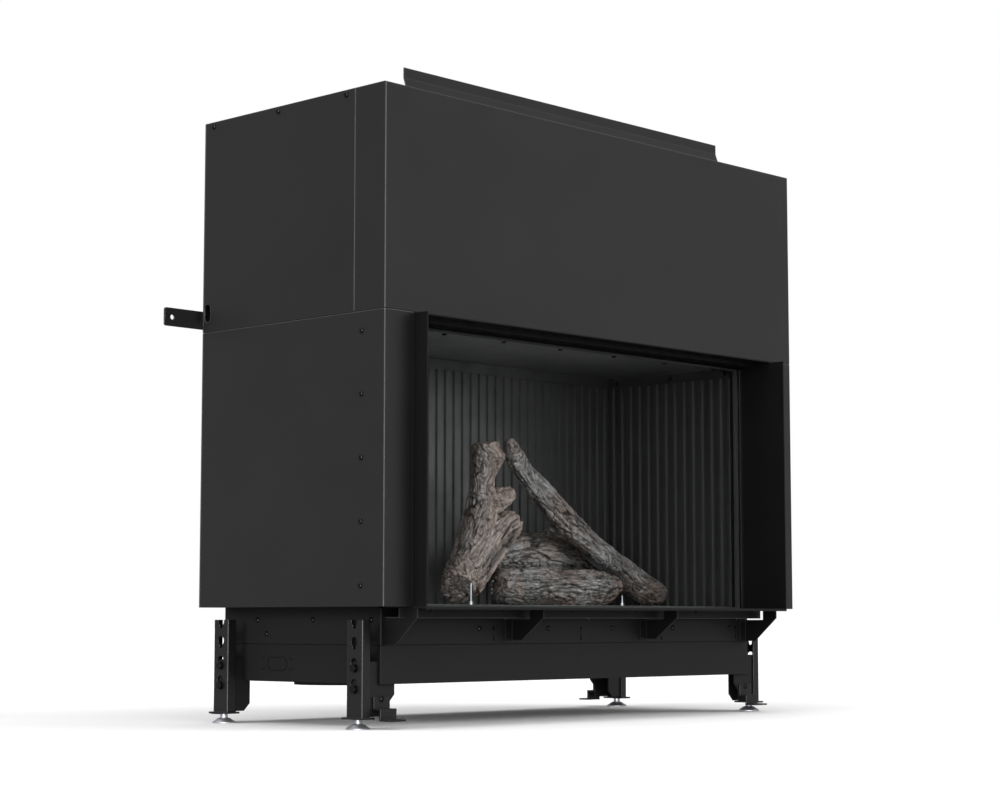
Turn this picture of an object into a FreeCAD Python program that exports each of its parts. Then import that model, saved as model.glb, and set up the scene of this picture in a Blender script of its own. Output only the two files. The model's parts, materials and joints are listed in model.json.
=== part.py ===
import FreeCAD, Part

import math
import operator
import os

import Sketcher

# Built-in gas fireplace on adjustable legs, in millimetres.
# The origin is on the floor under the middle of the part.
# +Z is up, +Y points to the rear and +X to the right.

SIZES = {
    # Casing
    "casing_width": 1100,
    "casing_depth": 466,
    "lower_height": 481,
    "upper_height": 374,
    "casing_sheet": 2,
    "casing_bend": 3,
    "seam_gap": 0.8,
    "stile_width": 65,
    "hood_return": 73,
    "top_flange": 20,
    "cable_slot_width": 15,
    "cable_slot_height": 31,
    "cable_slot_rear_inset": 12.5,
    "cable_slot_rise": 33.5,
    # Finishing strip on the top
    "strip_end_inset": 122,
    "strip_sheet": 1.5,
    "strip_foot": 22,
    "strip_lean": 13.6,
    "strip_lean_height": 41,
    "strip_upright": 18,
    # Window reveal
    "surround_projection": 32,
    "reveal_sheet": 2,
    "sill_lip": 4.5,
    "sill_dimple_radius": 5,
    "sill_dimple_tip_radius": 1.5,
    "sill_dimple_drop": 7.5,
    "lintel_step_depth": 36,
    "lintel_step_drop": 6,
    # Window
    "glass_setback": 68,
    "glass_thickness": 4,
    "profile_depth": 8,
    "profile_width": 7,
    "profile_bite": 5,
    "glass_side_clearance": 0.5,
    "glass_foot_clearance": 0.3,
    "glass_head_clearance": 3,
    "gasket_thickness": 4,
    "gasket_width": 9,
    "gasket_edge": 3.5,
    "gasket_seat_gap": 0.3,
    # Firebox
    "firebox_side_inset": 25,
    "firebox_rear": 394,
    "baffle_top_gap": 7,
    "baffle_rise": 40,
    "baffle_rear_gap": 24,
    "firebox_sheet": 2,
    "frame_sheet": 2,
    "frame_head": 7,
    "liner_sheet": 2,
    "liner_top_band": 18,
    "rib_depth": 4,
    "rib_pitch": 23.2,
    "rib_top": 8.5,
    "rib_slope": 1.5,
    # Burner
    "burner_width": 660,
    "burner_depth": 230,
    "burner_front": 115,
    "burner_pan_height": 45,
    "burner_flange": 12,
    "burner_sheet": 1.5,
    "burner_opening_clearance": 1,
    "hearth_edge_gap": 6,
    "port_length": 34,
    "port_width": 3,
    "port_pitch": 60,
    "port_row_spacing": 92,
    "gas_entry_radius": 6,
    # Electrodes
    "electrode_radius": 1.6,
    "electrode_tail": 12,
    "electrode_hole_clearance": 0.4,
    "insulator_radius": 4,
    "insulator_height": 6,
    "igniter_side": 212,
    "igniter_setback": 135,
    "igniter_height": 38,
    "sensor_side": 247,
    "sensor_setback": 180,
    "sensor_height": 20,
    # Gas line
    "injector_radius": 8,
    "injector_length": 22,
    "pipe_radius": 5,
    "pipe_wall": 1,
    "pipe_bend": 18,
    "supply_radius": 7.5,
    "valve_length": 75,
    "valve_depth": 50,
    "valve_height": 58,
    "valve_side": 225,
    "knob_radius": 15,
    "knob_depth": 16,
    "knob_grip": 10,
    "knob_ridge_width": 5,
    "knob_ridge_height": 3,
    "spindle_radius": 3,
    "spindle_depth": 12,
    "running_clearance": 0.05,
    "inlet_radius": 10.5,
    "inlet_bore_radius": 6,
    "inlet_reach": 24,
    "inlet_inside": 16,
    "inlet_collar_radius": 17,
    "inlet_collar_depth": 6,
    "inlet_hole_clearance": 0.3,
    # Flue
    "flue_setback": 250,
    "flue_radius": 65,
    "air_radius": 100,
    "flue_wall": 1.5,
    "flue_rise": 50,
    "flue_hole_clearance": 1,
    "plenum_width": 260,
    "plenum_depth": 240,
    "plenum_height": 46,
    # Relief flaps on the firebox roof
    "flap_side_inset": 300,
    "flap_setback": 240,
    "flap_opening_width": 160,
    "flap_opening_depth": 110,
    "flap_overlap": 12,
    "flap_thickness": 3,
    "flap_seat_gap": 0.3,
    "flap_barrel_length": 60,
    "flap_barrel_radius": 5,
    "flap_pin_radius": 3,
    "flap_pin_height": 6,
    "flap_pin_offset": 8,
    "flap_neck_rise": 1,
    "flap_pin_head_radius": 5,
    "flap_pin_head": 2,
    "lug_thickness": 4,
    "lug_depth": 12,
    "lug_top": 4.5,
    "lug_gap": 0.5,
    # Base
    "base_side_inset": 58,
    "base_front": 67,
    "base_rear_inset": 1,
    "base_frame_height": 62,
    "tray_height": 64,
    "base_sheet": 2,
    "base_seam": 0.6,
    "tray_lip_overlap": 16,
    "knockout_length": 52,
    "knockout_height": 24,
    "knockout_groove": 1.6,
    "knockout_groove_depth": 0.9,
    "knockout_setback": 324,
    "knockout_rise": 30,
    "knockout_mark_length": 9,
    "knockout_mark_height": 2.4,
    "knockout_mark_spread": 72,
    "knockout_mark_spacing": 18,
    "tie_slot_inset": 40,
    "tie_slot_height": 24,
    "tie_slot_radius": 2.6,
    "tie_slot_slit": 1.4,
    "tie_slot_drop": 45,
    "collar_radius": 75,
    "collar_wall": 2,
    "collar_drop": 5,
    "collar_side_inset": 87,
    "collar_setback": 266,
    # Front rail and gussets
    "rail_setback": 31,
    "rail_depth": 33,
    "rail_height": 16.5,
    "rail_sheet": 2,
    "gusset_sheet": 2.5,
    "gusset_tip": 9,
    "gusset_front_height": 15.5,
    "gusset_foot_setback": 42,
    "gusset_inner_rise": 6,
    "gusset_outer_inset": 3,
    "gusset_inner_side": 181,
    "gusset_notch_gap": 2.5,
    "gusset_notch_front_gap": 9,
    "gusset_flange": 18,
    # Legs
    "leg_web": 38,
    "leg_flange": 17,
    "leg_sheet": 3,
    "leg_bend": 2.5,
    "leg_height": 158,
    "leg_drop": 21,
    "leg_side_inset": 20,
    "leg_front_setback": 70,
    "leg_rear_inset": 17.5,
    "keyhole_radius": 8,
    "keyhole_tail_radius": 4.4,
    "keyhole_drop": 8.6,
    "keyhole_pitch": 34,
    "keyhole_first_drop": 2,
    "bracket_top_drop": 89,
    "bracket_foot_gap": 1,
    "bracket_web_foot": 146,
    "bracket_plain_reach": 15,
    "bracket_clip_reach": 37,
    "bracket_plain_chamfer": 13,
    "bracket_clip_chamfer": 14,
    "bracket_clip_shoulder": 17,
    "foot_plate_sheet": 3,
    "foot_plate_width": 28,
    "foot_plate_depth": 49,
    "foot_plate_outset": 5,
    # Leg bolts
    "bolt_radius": 4,
    "bolt_head_flats": 13,
    "bolt_head_height": 5.3,
    "bolt_tail": 4,
    "nut_height": 6.5,
    # Levelling feet
    "foot_height": 16,
    "foot_disc_radius": 20,
    "foot_rim": 1.6,
    "foot_cone_radius": 11,
    "foot_cone_height": 6,
    "foot_neck_radius": 6.5,
    "foot_plate_clearance": 0.3,
    "stud_radius": 5,
    "stud_length": 36,
    "stud_socket_depth": 9,
    # Floor clips
    "clip_width": 36,
    "clip_sheet": 3,
    "clip_side_inset": 26,
    "clip_plate_height": 22,
    "clip_plate_drop": 146,
    "clip_step": 19,
    "clip_riser": 17,
    "clip_foot": 22,
    "clip_hole_radius": 4.5,
    # Wall ears
    "ear_reach": 84,
    "ear_overlap": 40,
    "ear_height": 32,
    "ear_rise": 22,
    "ear_sheet": 3,
    "ear_corner": 4,
    "ear_hole_radius": 4.5,
    "ear_hole_inset": 17,
    # Screws
    "screw_head_radius": 4,
    "screw_head_height": 2.2,
    "screw_crown_radius": 2.4,
    "screw_edge_height": 1.1,
    "screw_shank_radius": 2,
    "screw_length": 7,
    "screw_hole_clearance": 0.3,
    "upper_screw_drop": 8.5,
    "upper_screw_first": 96,
    "upper_screw_pitch": 173,
    "lower_screw_setback": 55,
    "lower_screw_first": 33.5,
    "lower_screw_pitch": 103.6,
    "sill_screw_inset": 51.5,
    "sill_dimple_setback": 10,
    "rail_screw_inset": 53,
    "rail_screw_setback": 50,
    "base_screw_drop": 21.5,
    "base_screw_first": 91,
    "base_screw_pitch": 143.5,
    "base_extra_screw_setback": 353.5,
    "base_extra_screw_drop": 45,
    "base_front_screw_drop": 36,
    "ear_screw_inset": 10,
    "ear_screw_pitch": 18,
    "baffle_screw_pitch": 150,
    "baffle_screw_setback": 114.5,
    "wall_screw_first": 95,
    "wall_screw_pitch": 141,
    # Logs
    "log_clearance": 0.4,
    "front_log_length": 350,
    "front_log_radius": 37,
    "front_log_side": 56,
    "front_log_setback": 165,
    "rear_log_length": 300,
    "rear_log_radius": 42,
    "rear_log_side": 118,
    "rear_log_setback": 290,
    "rear_log_rise": 54,
    "upright_log_radius": 36,
    "upright_log_foot_side": 186,
    "upright_log_foot_setback": 192,
    "upright_log_waist_side": 117,
    "upright_log_waist_height": 180,
    "upright_log_top_side": 104,
    "upright_log_top_setback": 205,
    "upright_log_height": 292,
    "branch_radius": 32,
    "branch_root_side": 158,
    "branch_root_height": 50,
    "branch_reach": 104,
    "branch_rise": 80,
    "stub_radius": 20,
    "stub_reach": 58,
    "stub_rise": 20,
    "leaning_log_radius": 28,
    "leaning_log_top_side": 14,
    "leaning_log_top_setback": 228,
    "leaning_log_height": 308,
    "leaning_log_foot_gap": 62,
    "leaning_log_foot_setback": 222,
    "leaning_log_foot_rise": 16,
    "log_rest_sheet": 3,
    "log_rest_spacing": 170,
    "log_rest_depth": 60,
    "log_rest_height": 48,
    # Making
    "cut_overrun": 5,
    "match_tolerance": 0.01,
}

SIDES = (("left", -1), ("right", 1))

# Shares along a log, and the radius there as a share of the log's own radius.
STATION_SHARES = (0.0, 0.12, 0.32, 0.55, 0.78, 0.93, 1.0)
FRONT_LOG_SHARES = (0.62, 0.92, 0.97, 1.0, 0.95, 0.86, 0.5)
REAR_LOG_SHARES = (0.6, 0.9, 0.98, 1.0, 0.96, 0.88, 0.58)
LEANING_LOG_SHARES = (0.32, 0.63, 0.76, 0.84, 0.97, 1.0, 0.88)
UPRIGHT_LOG_SHARES = (0.92, 1.0, 0.95, 0.82, 0.63, 0.74, 0.84)
BRANCH_SHARES = (0.9, 1.0, 1.0, 0.98, 0.95, 0.85, 0.6)

doc = FreeCAD.newDocument("gas_fireplace")
sheet = doc.addObject("Spreadsheet::Sheet", "size")
for row, (alias, number) in enumerate(SIZES.items(), 1):
    sheet.set(f"A{row}", alias)
    sheet.set(f"B{row}", str(number))
    sheet.setAlias(f"B{row}", alias)
doc.recompute()

OPERATIONS = {"+": operator.add, "-": operator.sub, "*": operator.mul, "/": operator.truediv}
pieces = []


class Dim:
    """A length with its value and the sheet formula that gives it."""

    def __init__(self, value, formula):
        self.value = float(value)
        self.formula = formula

    def __add__(self, other):
        return combine(self, "+", other)

    def __radd__(self, other):
        return combine(other, "+", self)

    def __sub__(self, other):
        return combine(self, "-", other)

    def __rsub__(self, other):
        return combine(other, "-", self)

    def __mul__(self, other):
        return combine(self, "*", other)

    def __rmul__(self, other):
        return combine(other, "*", self)

    def __truediv__(self, other):
        return combine(self, "/", other)

    def __neg__(self):
        return combine(0, "-", self)


def as_dim(item):
    return item if isinstance(item, Dim) else Dim(item, f"({item})")


def combine(first, sign, second):
    first = as_dim(first)
    second = as_dim(second)
    value = OPERATIONS[sign](first.value, second.value)
    return Dim(value, f"({first.formula} {sign} {second.formula})")


def size(alias):
    return Dim(sheet.get(alias), f"size.{alias}")


def bind(item, name, length):
    item.setExpression(name, as_dim(length).formula)


def point(x, y, z):
    return FreeCAD.Vector(as_dim(x).value, as_dim(y).value, as_dim(z).value)


def keep(item, label):
    """Names a finished piece, which is then written under that name."""
    item.Label = label
    pieces.append(item)
    return item


# Building blocks

AXIS_TURN = {
    "x": FreeCAD.Rotation(FreeCAD.Vector(0, 0, 1), FreeCAD.Vector(1, 0, 0)),
    "y": FreeCAD.Rotation(FreeCAD.Vector(0, 0, 1), FreeCAD.Vector(0, 1, 0)),
    "z": FreeCAD.Rotation(),
}


def set_base(item, corner):
    for name, start in zip("xyz", corner):
        bind(item, f"Placement.Base.{name}", start)


def box(low, high):
    """A block between its lowest and highest corners."""
    item = doc.addObject("Part::Box", "block")
    for name, start, end in zip(("Length", "Width", "Height"), low, high):
        bind(item, name, as_dim(end) - start)
    set_base(item, low)
    return item


def side_ends(sign, inner, outer):
    """The lower and the higher x of a stretch on one side, from its distances to the middle."""
    return (inner, outer) if sign > 0 else (-outer, -inner)


def side_box(sign, inner, outer, low, high):
    """A block on one side: inner and outer are distances from the middle, low and high its y and z."""
    first, last = side_ends(sign, inner, outer)
    return box((first, *low), (last, *high))


def cylinder(radius, start, length, axis):
    item = doc.addObject("Part::Cylinder", "round")
    bind(item, "Radius", radius)
    bind(item, "Height", length)
    item.Placement = FreeCAD.Placement(FreeCAD.Vector(), AXIS_TURN[axis])
    set_base(item, start)
    return item


def hexagon(flats, start, length, axis):
    item = doc.addObject("Part::Prism", "hexagon")
    item.Polygon = 6
    bind(item, "Circumradius", flats / math.sqrt(3))
    bind(item, "Height", length)
    item.Placement = FreeCAD.Placement(FreeCAD.Vector(), AXIS_TURN[axis])
    set_base(item, start)
    return item


def fuse(*items):
    joined = doc.addObject("Part::MultiFuse", "joined")
    joined.Shapes = list(items)
    joined.Refine = True
    return joined


def cut(base, *tools):
    tool = tools[0] if len(tools) == 1 else fuse(*tools)
    rest = doc.addObject("Part::Cut", "rest")
    rest.Base = base
    rest.Tool = tool
    return rest


def group(*items):
    together = doc.addObject("Part::Compound", "together")
    together.Links = list(items)
    return together


def feature(shape):
    item = doc.addObject("Part::Feature", "shape")
    item.Shape = shape
    return item


def tube(radius, wall, start, length, axis):
    outer = cylinder(radius, start, length, axis)
    inner = cylinder(radius - wall, start, length, axis)
    return cut(outer, inner)


def rounded(base, radius, chosen):
    """Rounds the edges of a piece whose middle the test picks."""
    doc.recompute()
    edges = [number for number, edge in enumerate(base.Shape.Edges, 1) if chosen(edge.BoundBox.Center)]
    item = doc.addObject("Part::Fillet", "rounded")
    item.Base = base
    item.Edges = [(number, radius.value, radius.value) for number in edges]
    return item


def near(number, length):
    return abs(number - as_dim(length).value) < match_tolerance


def profile_sketch(body, role, points):
    """A closed outline on one of the body's own planes, every corner bound to the sheet."""
    sketch = body.newObject("Sketcher::SketchObject", "outline")
    plane = next(item for item in body.Origin.OriginFeatures if item.Role == role)
    sketch.AttachmentSupport = [(plane, "")]
    sketch.MapMode = "FlatFace"
    corners = [tuple(as_dim(length) for length in pair) for pair in points]
    places = [FreeCAD.Vector(first.value, second.value, 0) for first, second in corners]
    count = len(corners)
    for index in range(count):
        sketch.addGeometry(Part.LineSegment(places[index], places[(index + 1) % count]))
    for index, corner in enumerate(corners):
        sketch.addConstraint(Sketcher.Constraint("Coincident", index, 2, (index + 1) % count, 1))
        for kind, length in zip(("DistanceX", "DistanceY"), corner):
            number = sketch.addConstraint(Sketcher.Constraint(kind, -1, 1, index, 1, length.value))
            bind(sketch, f"Constraints[{number}]", length)
    return sketch


def padded(role, points, depth, corner):
    """An outline drawn on a plane, thickened along its normal and moved to its corner."""
    body = doc.addObject("PartDesign::Body", "padded")
    sketch = profile_sketch(body, role, points)
    pad = body.newObject("PartDesign::Pad", "pad")
    pad.Profile = sketch
    bind(pad, "Length", depth)
    set_base(body, corner)
    return body


def turned(points, corner):
    """An outline of radius and height turned about the upright axis through the corner."""
    body = doc.addObject("PartDesign::Body", "turned")
    sketch = profile_sketch(body, "XZ_Plane", points)
    turn = body.newObject("PartDesign::Revolution", "turn")
    turn.Profile = sketch
    turn.ReferenceAxis = (sketch, ["V_Axis"])
    turn.Angle = 360
    set_base(body, corner)
    return body


# Sizes that several pieces share

casing_sheet = size("casing_sheet")
casing_bend = size("casing_bend")
seam_gap = size("seam_gap")
cut_overrun = size("cut_overrun")
match_tolerance = size("match_tolerance").value
base_sheet = size("base_sheet")
leg_sheet = size("leg_sheet")
clip_sheet = size("clip_sheet")
running_clearance = size("running_clearance")

half_width = size("casing_width") / 2
inner_half = half_width - casing_sheet
clip_reach = size("clip_step") + size("clip_foot") - clip_sheet
rear_reach = size("casing_depth") - size("leg_rear_inset") + clip_reach
front_y = size("surround_projection") - (size("surround_projection") + rear_reach) / 2
rear_y = front_y + size("casing_depth")
plate_z = size("foot_height")
leg_foot_z = plate_z + size("foot_plate_sheet")
leg_top_z = leg_foot_z + size("leg_height")
casing_z = leg_top_z + size("leg_drop")
joint_z = casing_z + size("lower_height")
top_z = joint_z + size("upper_height")

opening_half = half_width - size("stile_width")
reveal_half = opening_half - size("reveal_sheet")
profile_y = front_y + size("glass_setback")
glass_y = profile_y + (size("profile_depth") - size("glass_thickness")) / 2
gasket_y = glass_y + size("glass_thickness")
frame_y = gasket_y + size("gasket_thickness") + size("gasket_seat_gap")
firebox_y = frame_y + size("frame_sheet")
step_top_z = joint_z - size("lintel_step_drop")
glass_z = casing_z + size("glass_foot_clearance")
glass_top_z = step_top_z - casing_sheet - size("glass_head_clearance")
glass_half = reveal_half - size("glass_side_clearance")

floor_z = casing_z + casing_sheet
baffle_top_z = joint_z - size("baffle_top_gap")
baffle_z = baffle_top_z - size("firebox_sheet")
roof_z = baffle_z + size("baffle_rise")
roof_top_z = roof_z + size("firebox_sheet")
liner_half = opening_half - size("firebox_side_inset")
liner_depth = size("liner_sheet") + size("rib_depth")
wall_half = liner_half + liner_depth
liner_y = front_y + size("firebox_rear")
wall_y = liner_y + liner_depth
firebox_rear_y = wall_y + size("firebox_sheet")

burner_half = size("burner_width") / 2
burner_y = front_y + size("burner_front")
burner_rear_y = burner_y + size("burner_depth")
burner_middle_y = (burner_y + burner_rear_y) / 2
flange_z = floor_z + size("burner_sheet")
hearth_z = flange_z + size("burner_sheet")
pan_z = floor_z - size("burner_pan_height")

base_half = half_width - size("base_side_inset")
base_y = front_y + size("base_front")
base_rear_y = rear_y - size("base_rear_inset")
frame_foot_z = casing_z - size("base_frame_height")
tray_z = frame_foot_z - size("tray_height")
tray_floor_z = tray_z + base_sheet
sill_z = casing_z - casing_sheet

leg_half = half_width - size("leg_side_inset")
LEG_ENDS = (
    ("front", 1, front_y + size("leg_front_setback")),
    ("rear", -1, rear_y - size("leg_rear_inset") - size("leg_web")),
)
foot_x = leg_half + size("foot_plate_outset") - size("foot_plate_width") / 2
flue_y = front_y + size("flue_setback")


# Screws

def screw_shape():
    """A pan-head screw, its seat at the origin and its head towards +Z."""
    head = size("screw_head_radius").value
    crown = size("screw_crown_radius").value
    shank = size("screw_shank_radius").value
    top = size("screw_head_height").value
    edge = size("screw_edge_height").value
    tail = -size("screw_length").value
    outline = [(0, tail), (shank, tail), (shank, 0), (head, 0),
               (head, edge), (crown, top), (0, top), (0, tail)]
    wire = Part.makePolygon([FreeCAD.Vector(radius, 0, height) for radius, height in outline])
    return Part.Face(wire).revolve(FreeCAD.Vector(), FreeCAD.Vector(0, 0, 1), 360)


def screw_hole_shape():
    radius = (size("screw_shank_radius") + size("screw_hole_clearance")).value
    overrun = (size("screw_length") + cut_overrun).value
    return Part.makeCylinder(radius, 2 * overrun, FreeCAD.Vector(0, 0, -overrun))


def spread(shape, places):
    """Copies of a shape at each place, its +Z turned to the direction given with the place."""
    copies = []
    for place, direction in places:
        copy = shape.copy()
        turn = FreeCAD.Rotation(FreeCAD.Vector(0, 0, 1), FreeCAD.Vector(*direction))
        copy.Placement = FreeCAD.Placement(place, turn)
        copies.append(copy)
    return Part.makeCompound(copies)


def screw_holes(places):
    return feature(spread(screw_hole_shape(), places))


def even_row(count, pitch):
    """Places of a row that is centred on the middle."""
    return [pitch * (index - (count - 1) / 2) for index in range(count)]


def even_span(count, half):
    """Places spread evenly from one end of a span to the other, the span centred on the middle."""
    return [half * (2 * index / (count - 1) - 1) for index in range(count)]


def casing_screw_places(sign):
    upper = []
    for index in range(3):
        y = front_y + size("upper_screw_first") + index * size("upper_screw_pitch")
        upper.append((point(sign * half_width, y, top_z - size("upper_screw_drop")), (sign, 0, 0)))
    lower = []
    for index in range(5):
        z = casing_z + size("lower_screw_first") + index * size("lower_screw_pitch")
        lower.append((point(sign * half_width, front_y + size("lower_screw_setback"), z), (sign, 0, 0)))
    return upper, lower


def base_side_screw_places(sign):
    z = casing_z - size("base_screw_drop")
    places = []
    for index in range(3):
        y = front_y + size("base_screw_first") + index * size("base_screw_pitch")
        places.append((point(sign * base_half, y, z), (sign, 0, 0)))
    extra_y = front_y + size("base_extra_screw_setback")
    extra_z = casing_z - size("base_extra_screw_drop")
    return places + [(point(sign * base_half, extra_y, extra_z), (sign, 0, 0))]


def base_front_screw_places():
    z = casing_z - size("base_front_screw_drop")
    reach = opening_half - size("sill_screw_inset")
    return [(point(x, base_y, z), (0, -1, 0)) for x in even_span(6, reach)]


def sill_dimple_places():
    y = front_y + size("sill_dimple_setback")
    reach = opening_half - size("sill_screw_inset")
    return [(point(x, y, sill_z), (0, 0, -1)) for x in even_span(6, reach)]


def rail_screw_places():
    y = front_y + size("rail_screw_setback")
    z = sill_z - size("rail_height")
    return [(point(x, y, z), (0, 0, -1)) for x in even_span(5, opening_half - size("rail_screw_inset"))]


def ear_screw_places(sign):
    z = joint_z + size("ear_rise")
    places = []
    for index in range(2):
        x = sign * (half_width - size("ear_screw_inset") - index * size("ear_screw_pitch"))
        places.append((point(x, rear_y + size("ear_sheet"), z), (0, 1, 0)))
    return places


def baffle_screw_places():
    y = front_y + size("baffle_screw_setback")
    return [(point(x, y, baffle_z), (0, 0, -1)) for x in even_row(7, size("baffle_screw_pitch"))]


def wall_screw_places(sign):
    """A row on the bare band of a firebox side wall above the liner."""
    z = baffle_z - size("liner_top_band") / 2
    places = []
    for index in range(3):
        y = front_y + size("wall_screw_first") + index * size("wall_screw_pitch")
        places.append((point(sign * wall_half, y, z), (-sign, 0, 0)))
    return places


# Casing

def upper_front_hood():
    front = box((-half_width, front_y, joint_z), (half_width, front_y + casing_sheet, top_z))
    parts = [front]
    return_y = front_y + size("hood_return")
    for _, sign in SIDES:
        parts.append(side_box(sign, inner_half, half_width, (front_y, joint_z), (return_y, top_z)))
    parts.append(box((-half_width, front_y, top_z - casing_sheet), (half_width, return_y, top_z)))
    joined = fuse(*parts)
    rounded_hood = rounded(joined, casing_bend, lambda middle: near(middle.y, front_y) and (
        near(abs(middle.x), half_width) or near(middle.z, top_z)))
    keep(rounded_hood, "upper_front_hood")


def upper_side_panel(side, sign):
    panel_y = front_y + size("hood_return") + seam_gap
    panel = side_box(sign, inner_half, half_width, (panel_y, joint_z), (rear_y - casing_sheet, top_z))
    slot_y = rear_y - size("cable_slot_rear_inset")
    slot_z = joint_z + size("cable_slot_rise")
    radius = size("cable_slot_width") / 2
    straight = size("cable_slot_height") - 2 * radius
    slot = [side_box(sign, inner_half - cut_overrun, half_width + cut_overrun,
                     (slot_y - radius, slot_z - straight / 2), (slot_y + radius, slot_z + straight / 2))]
    start_x, _ = side_ends(sign, inner_half - cut_overrun, half_width + cut_overrun)
    for end in (-1, 1):
        slot.append(cylinder(radius, (start_x, slot_y, slot_z + end * straight / 2),
                             casing_sheet + 2 * cut_overrun, "x"))
    upper, _ = casing_screw_places(sign)
    keep(cut(panel, *slot, screw_holes(upper)), f"upper_side_panel_{side}")


def top_panel():
    panel_y = front_y + size("hood_return") + seam_gap
    last_y = rear_y - casing_sheet
    plate = box((-inner_half, panel_y, top_z - casing_sheet), (inner_half, last_y, top_z))
    parts = [plate]
    holes = [cylinder(size("air_radius") + size("flue_hole_clearance"),
                      (0, flue_y, top_z - casing_sheet - cut_overrun), casing_sheet + 2 * cut_overrun, "z")]
    for _, sign in SIDES:
        low = (panel_y, top_z - size("top_flange"))
        parts.append(side_box(sign, inner_half - casing_sheet, inner_half, low, (last_y, top_z)))
        upper, _ = casing_screw_places(sign)
        holes.append(screw_holes(upper))
    keep(cut(fuse(*parts), *holes), "top_panel")


def rear_panels():
    upper = box((-half_width, rear_y - casing_sheet, joint_z), (half_width, rear_y, top_z))
    ear_screws = [place for _, sign in SIDES for place in ear_screw_places(sign)]
    lower = box((-half_width, rear_y - casing_sheet, casing_z), (half_width, rear_y, joint_z - seam_gap))
    keep(group(cut(upper, screw_holes(ear_screws)), lower), "rear_panels")


def finishing_strip():
    """A strip with a flat foot on the hood, a leaning stretch and an upright edge."""
    thick = size("strip_sheet")
    bend_y = front_y + size("hood_return") - thick
    top_y = bend_y + size("strip_lean")
    lean_z = top_z + size("strip_lean_height")
    end_z = lean_z + size("strip_upright")
    outline = [
        (bend_y - size("strip_foot"), top_z),
        (bend_y + thick, top_z),
        (top_y + thick, lean_z),
        (top_y + thick, end_z),
        (top_y, end_z),
        (top_y, lean_z),
        (bend_y, top_z + thick),
        (bend_y - size("strip_foot"), top_z + thick),
    ]
    length = 2 * (half_width - size("strip_end_inset"))
    keep(padded("YZ_Plane", outline, length, (-length / 2, 0, 0)), "finishing_strip")


def lower_side_panel(side, sign):
    top = joint_z - seam_gap
    wall = side_box(sign, inner_half, half_width, (front_y, casing_z), (rear_y - casing_sheet, top))
    stile = side_box(sign, opening_half, half_width, (front_y, casing_z), (front_y + casing_sheet, top))
    joined = rounded(fuse(wall, stile), casing_bend,
                     lambda middle: near(abs(middle.x), half_width) and near(middle.y, front_y))
    _, lower = casing_screw_places(sign)
    keep(cut(joined, screw_holes(lower)), f"lower_side_panel_{side}")


def casing_floor():
    plate = box((-inner_half, front_y + casing_sheet, casing_z),
                (inner_half, rear_y - casing_sheet, floor_z))
    front_cut = box((-opening_half - seam_gap, front_y, casing_z - cut_overrun),
                    (opening_half + seam_gap, firebox_y, floor_z + cut_overrun))
    gap = size("burner_opening_clearance")
    burner_cut = box((-burner_half - gap, burner_y - gap, casing_z - cut_overrun),
                     (burner_half + gap, burner_rear_y + gap, floor_z + cut_overrun))
    keep(cut(plate, front_cut, burner_cut), "casing_floor")


def wall_ear(sign):
    z = joint_z + size("ear_rise")
    half = size("ear_height") / 2
    plate = side_box(sign, half_width - size("ear_overlap"), half_width + size("ear_reach"),
                     (rear_y, z - half), (rear_y + size("ear_sheet"), z + half))
    end_x = half_width + size("ear_reach")
    ear = rounded(plate, size("ear_corner"), lambda middle: near(abs(middle.x), end_x) and (
        near(middle.z, z - half) or near(middle.z, z + half)))
    hole_x = sign * (end_x - size("ear_hole_inset"))
    hole = cylinder(size("ear_hole_radius"), (hole_x, rear_y - cut_overrun, z),
                    size("ear_sheet") + 2 * cut_overrun, "y")
    return cut(ear, hole, screw_holes(ear_screw_places(sign)))


# Window reveal

def sill():
    """A plate with a lip at the front, and a row of pressed dimples behind the lip."""
    first_y = front_y - size("surround_projection")
    plate = box((-opening_half, first_y, sill_z), (opening_half, firebox_y, casing_z))
    lip = box((-opening_half, first_y, casing_z - size("sill_lip")),
              (opening_half, first_y + casing_sheet, casing_z))
    dimple = Part.makeCone(size("sill_dimple_radius").value, size("sill_dimple_tip_radius").value,
                           size("sill_dimple_drop").value)
    dimples = feature(spread(dimple, sill_dimple_places()))
    keep(fuse(plate, lip, dimples), "sill")


def reveal_fins():
    low = (front_y - size("surround_projection"), casing_z)
    high = (firebox_y, joint_z - casing_sheet)
    fins = [side_box(sign, reveal_half, opening_half, low, high) for _, sign in SIDES]
    keep(group(*fins), "reveal_fins")


def lintel():
    """The underside of the hood: a ledge, a step down and a second ledge that meets the firebox front."""
    ledge_z = joint_z - casing_sheet
    step_y = front_y + size("lintel_step_depth")
    outline = [
        (front_y, joint_z),
        (front_y, ledge_z),
        (step_y, ledge_z),
        (step_y, step_top_z - casing_sheet),
        (frame_y, step_top_z - casing_sheet),
        (frame_y, step_top_z),
        (step_y + casing_sheet, step_top_z),
        (step_y + casing_sheet, joint_z),
    ]
    keep(padded("YZ_Plane", outline, 2 * reveal_half, (-reveal_half, 0, 0)), "lintel")


# Window

def glass_pane():
    pane_half = glass_half - size("profile_width") + size("profile_bite")
    pane = box((-pane_half, glass_y, glass_z), (pane_half, gasket_y, glass_top_z))
    keep(pane, "glass_pane")


def glass_profile(sign):
    inner = glass_half - size("profile_width")
    low = (profile_y, glass_z)
    high = (profile_y + size("profile_depth"), glass_top_z)
    bar = side_box(sign, inner, glass_half, low, high)
    groove = side_box(sign, inner - cut_overrun, inner + size("profile_bite"),
                      (glass_y, glass_z - cut_overrun), (gasket_y, glass_top_z + cut_overrun))
    return cut(bar, groove)


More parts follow.
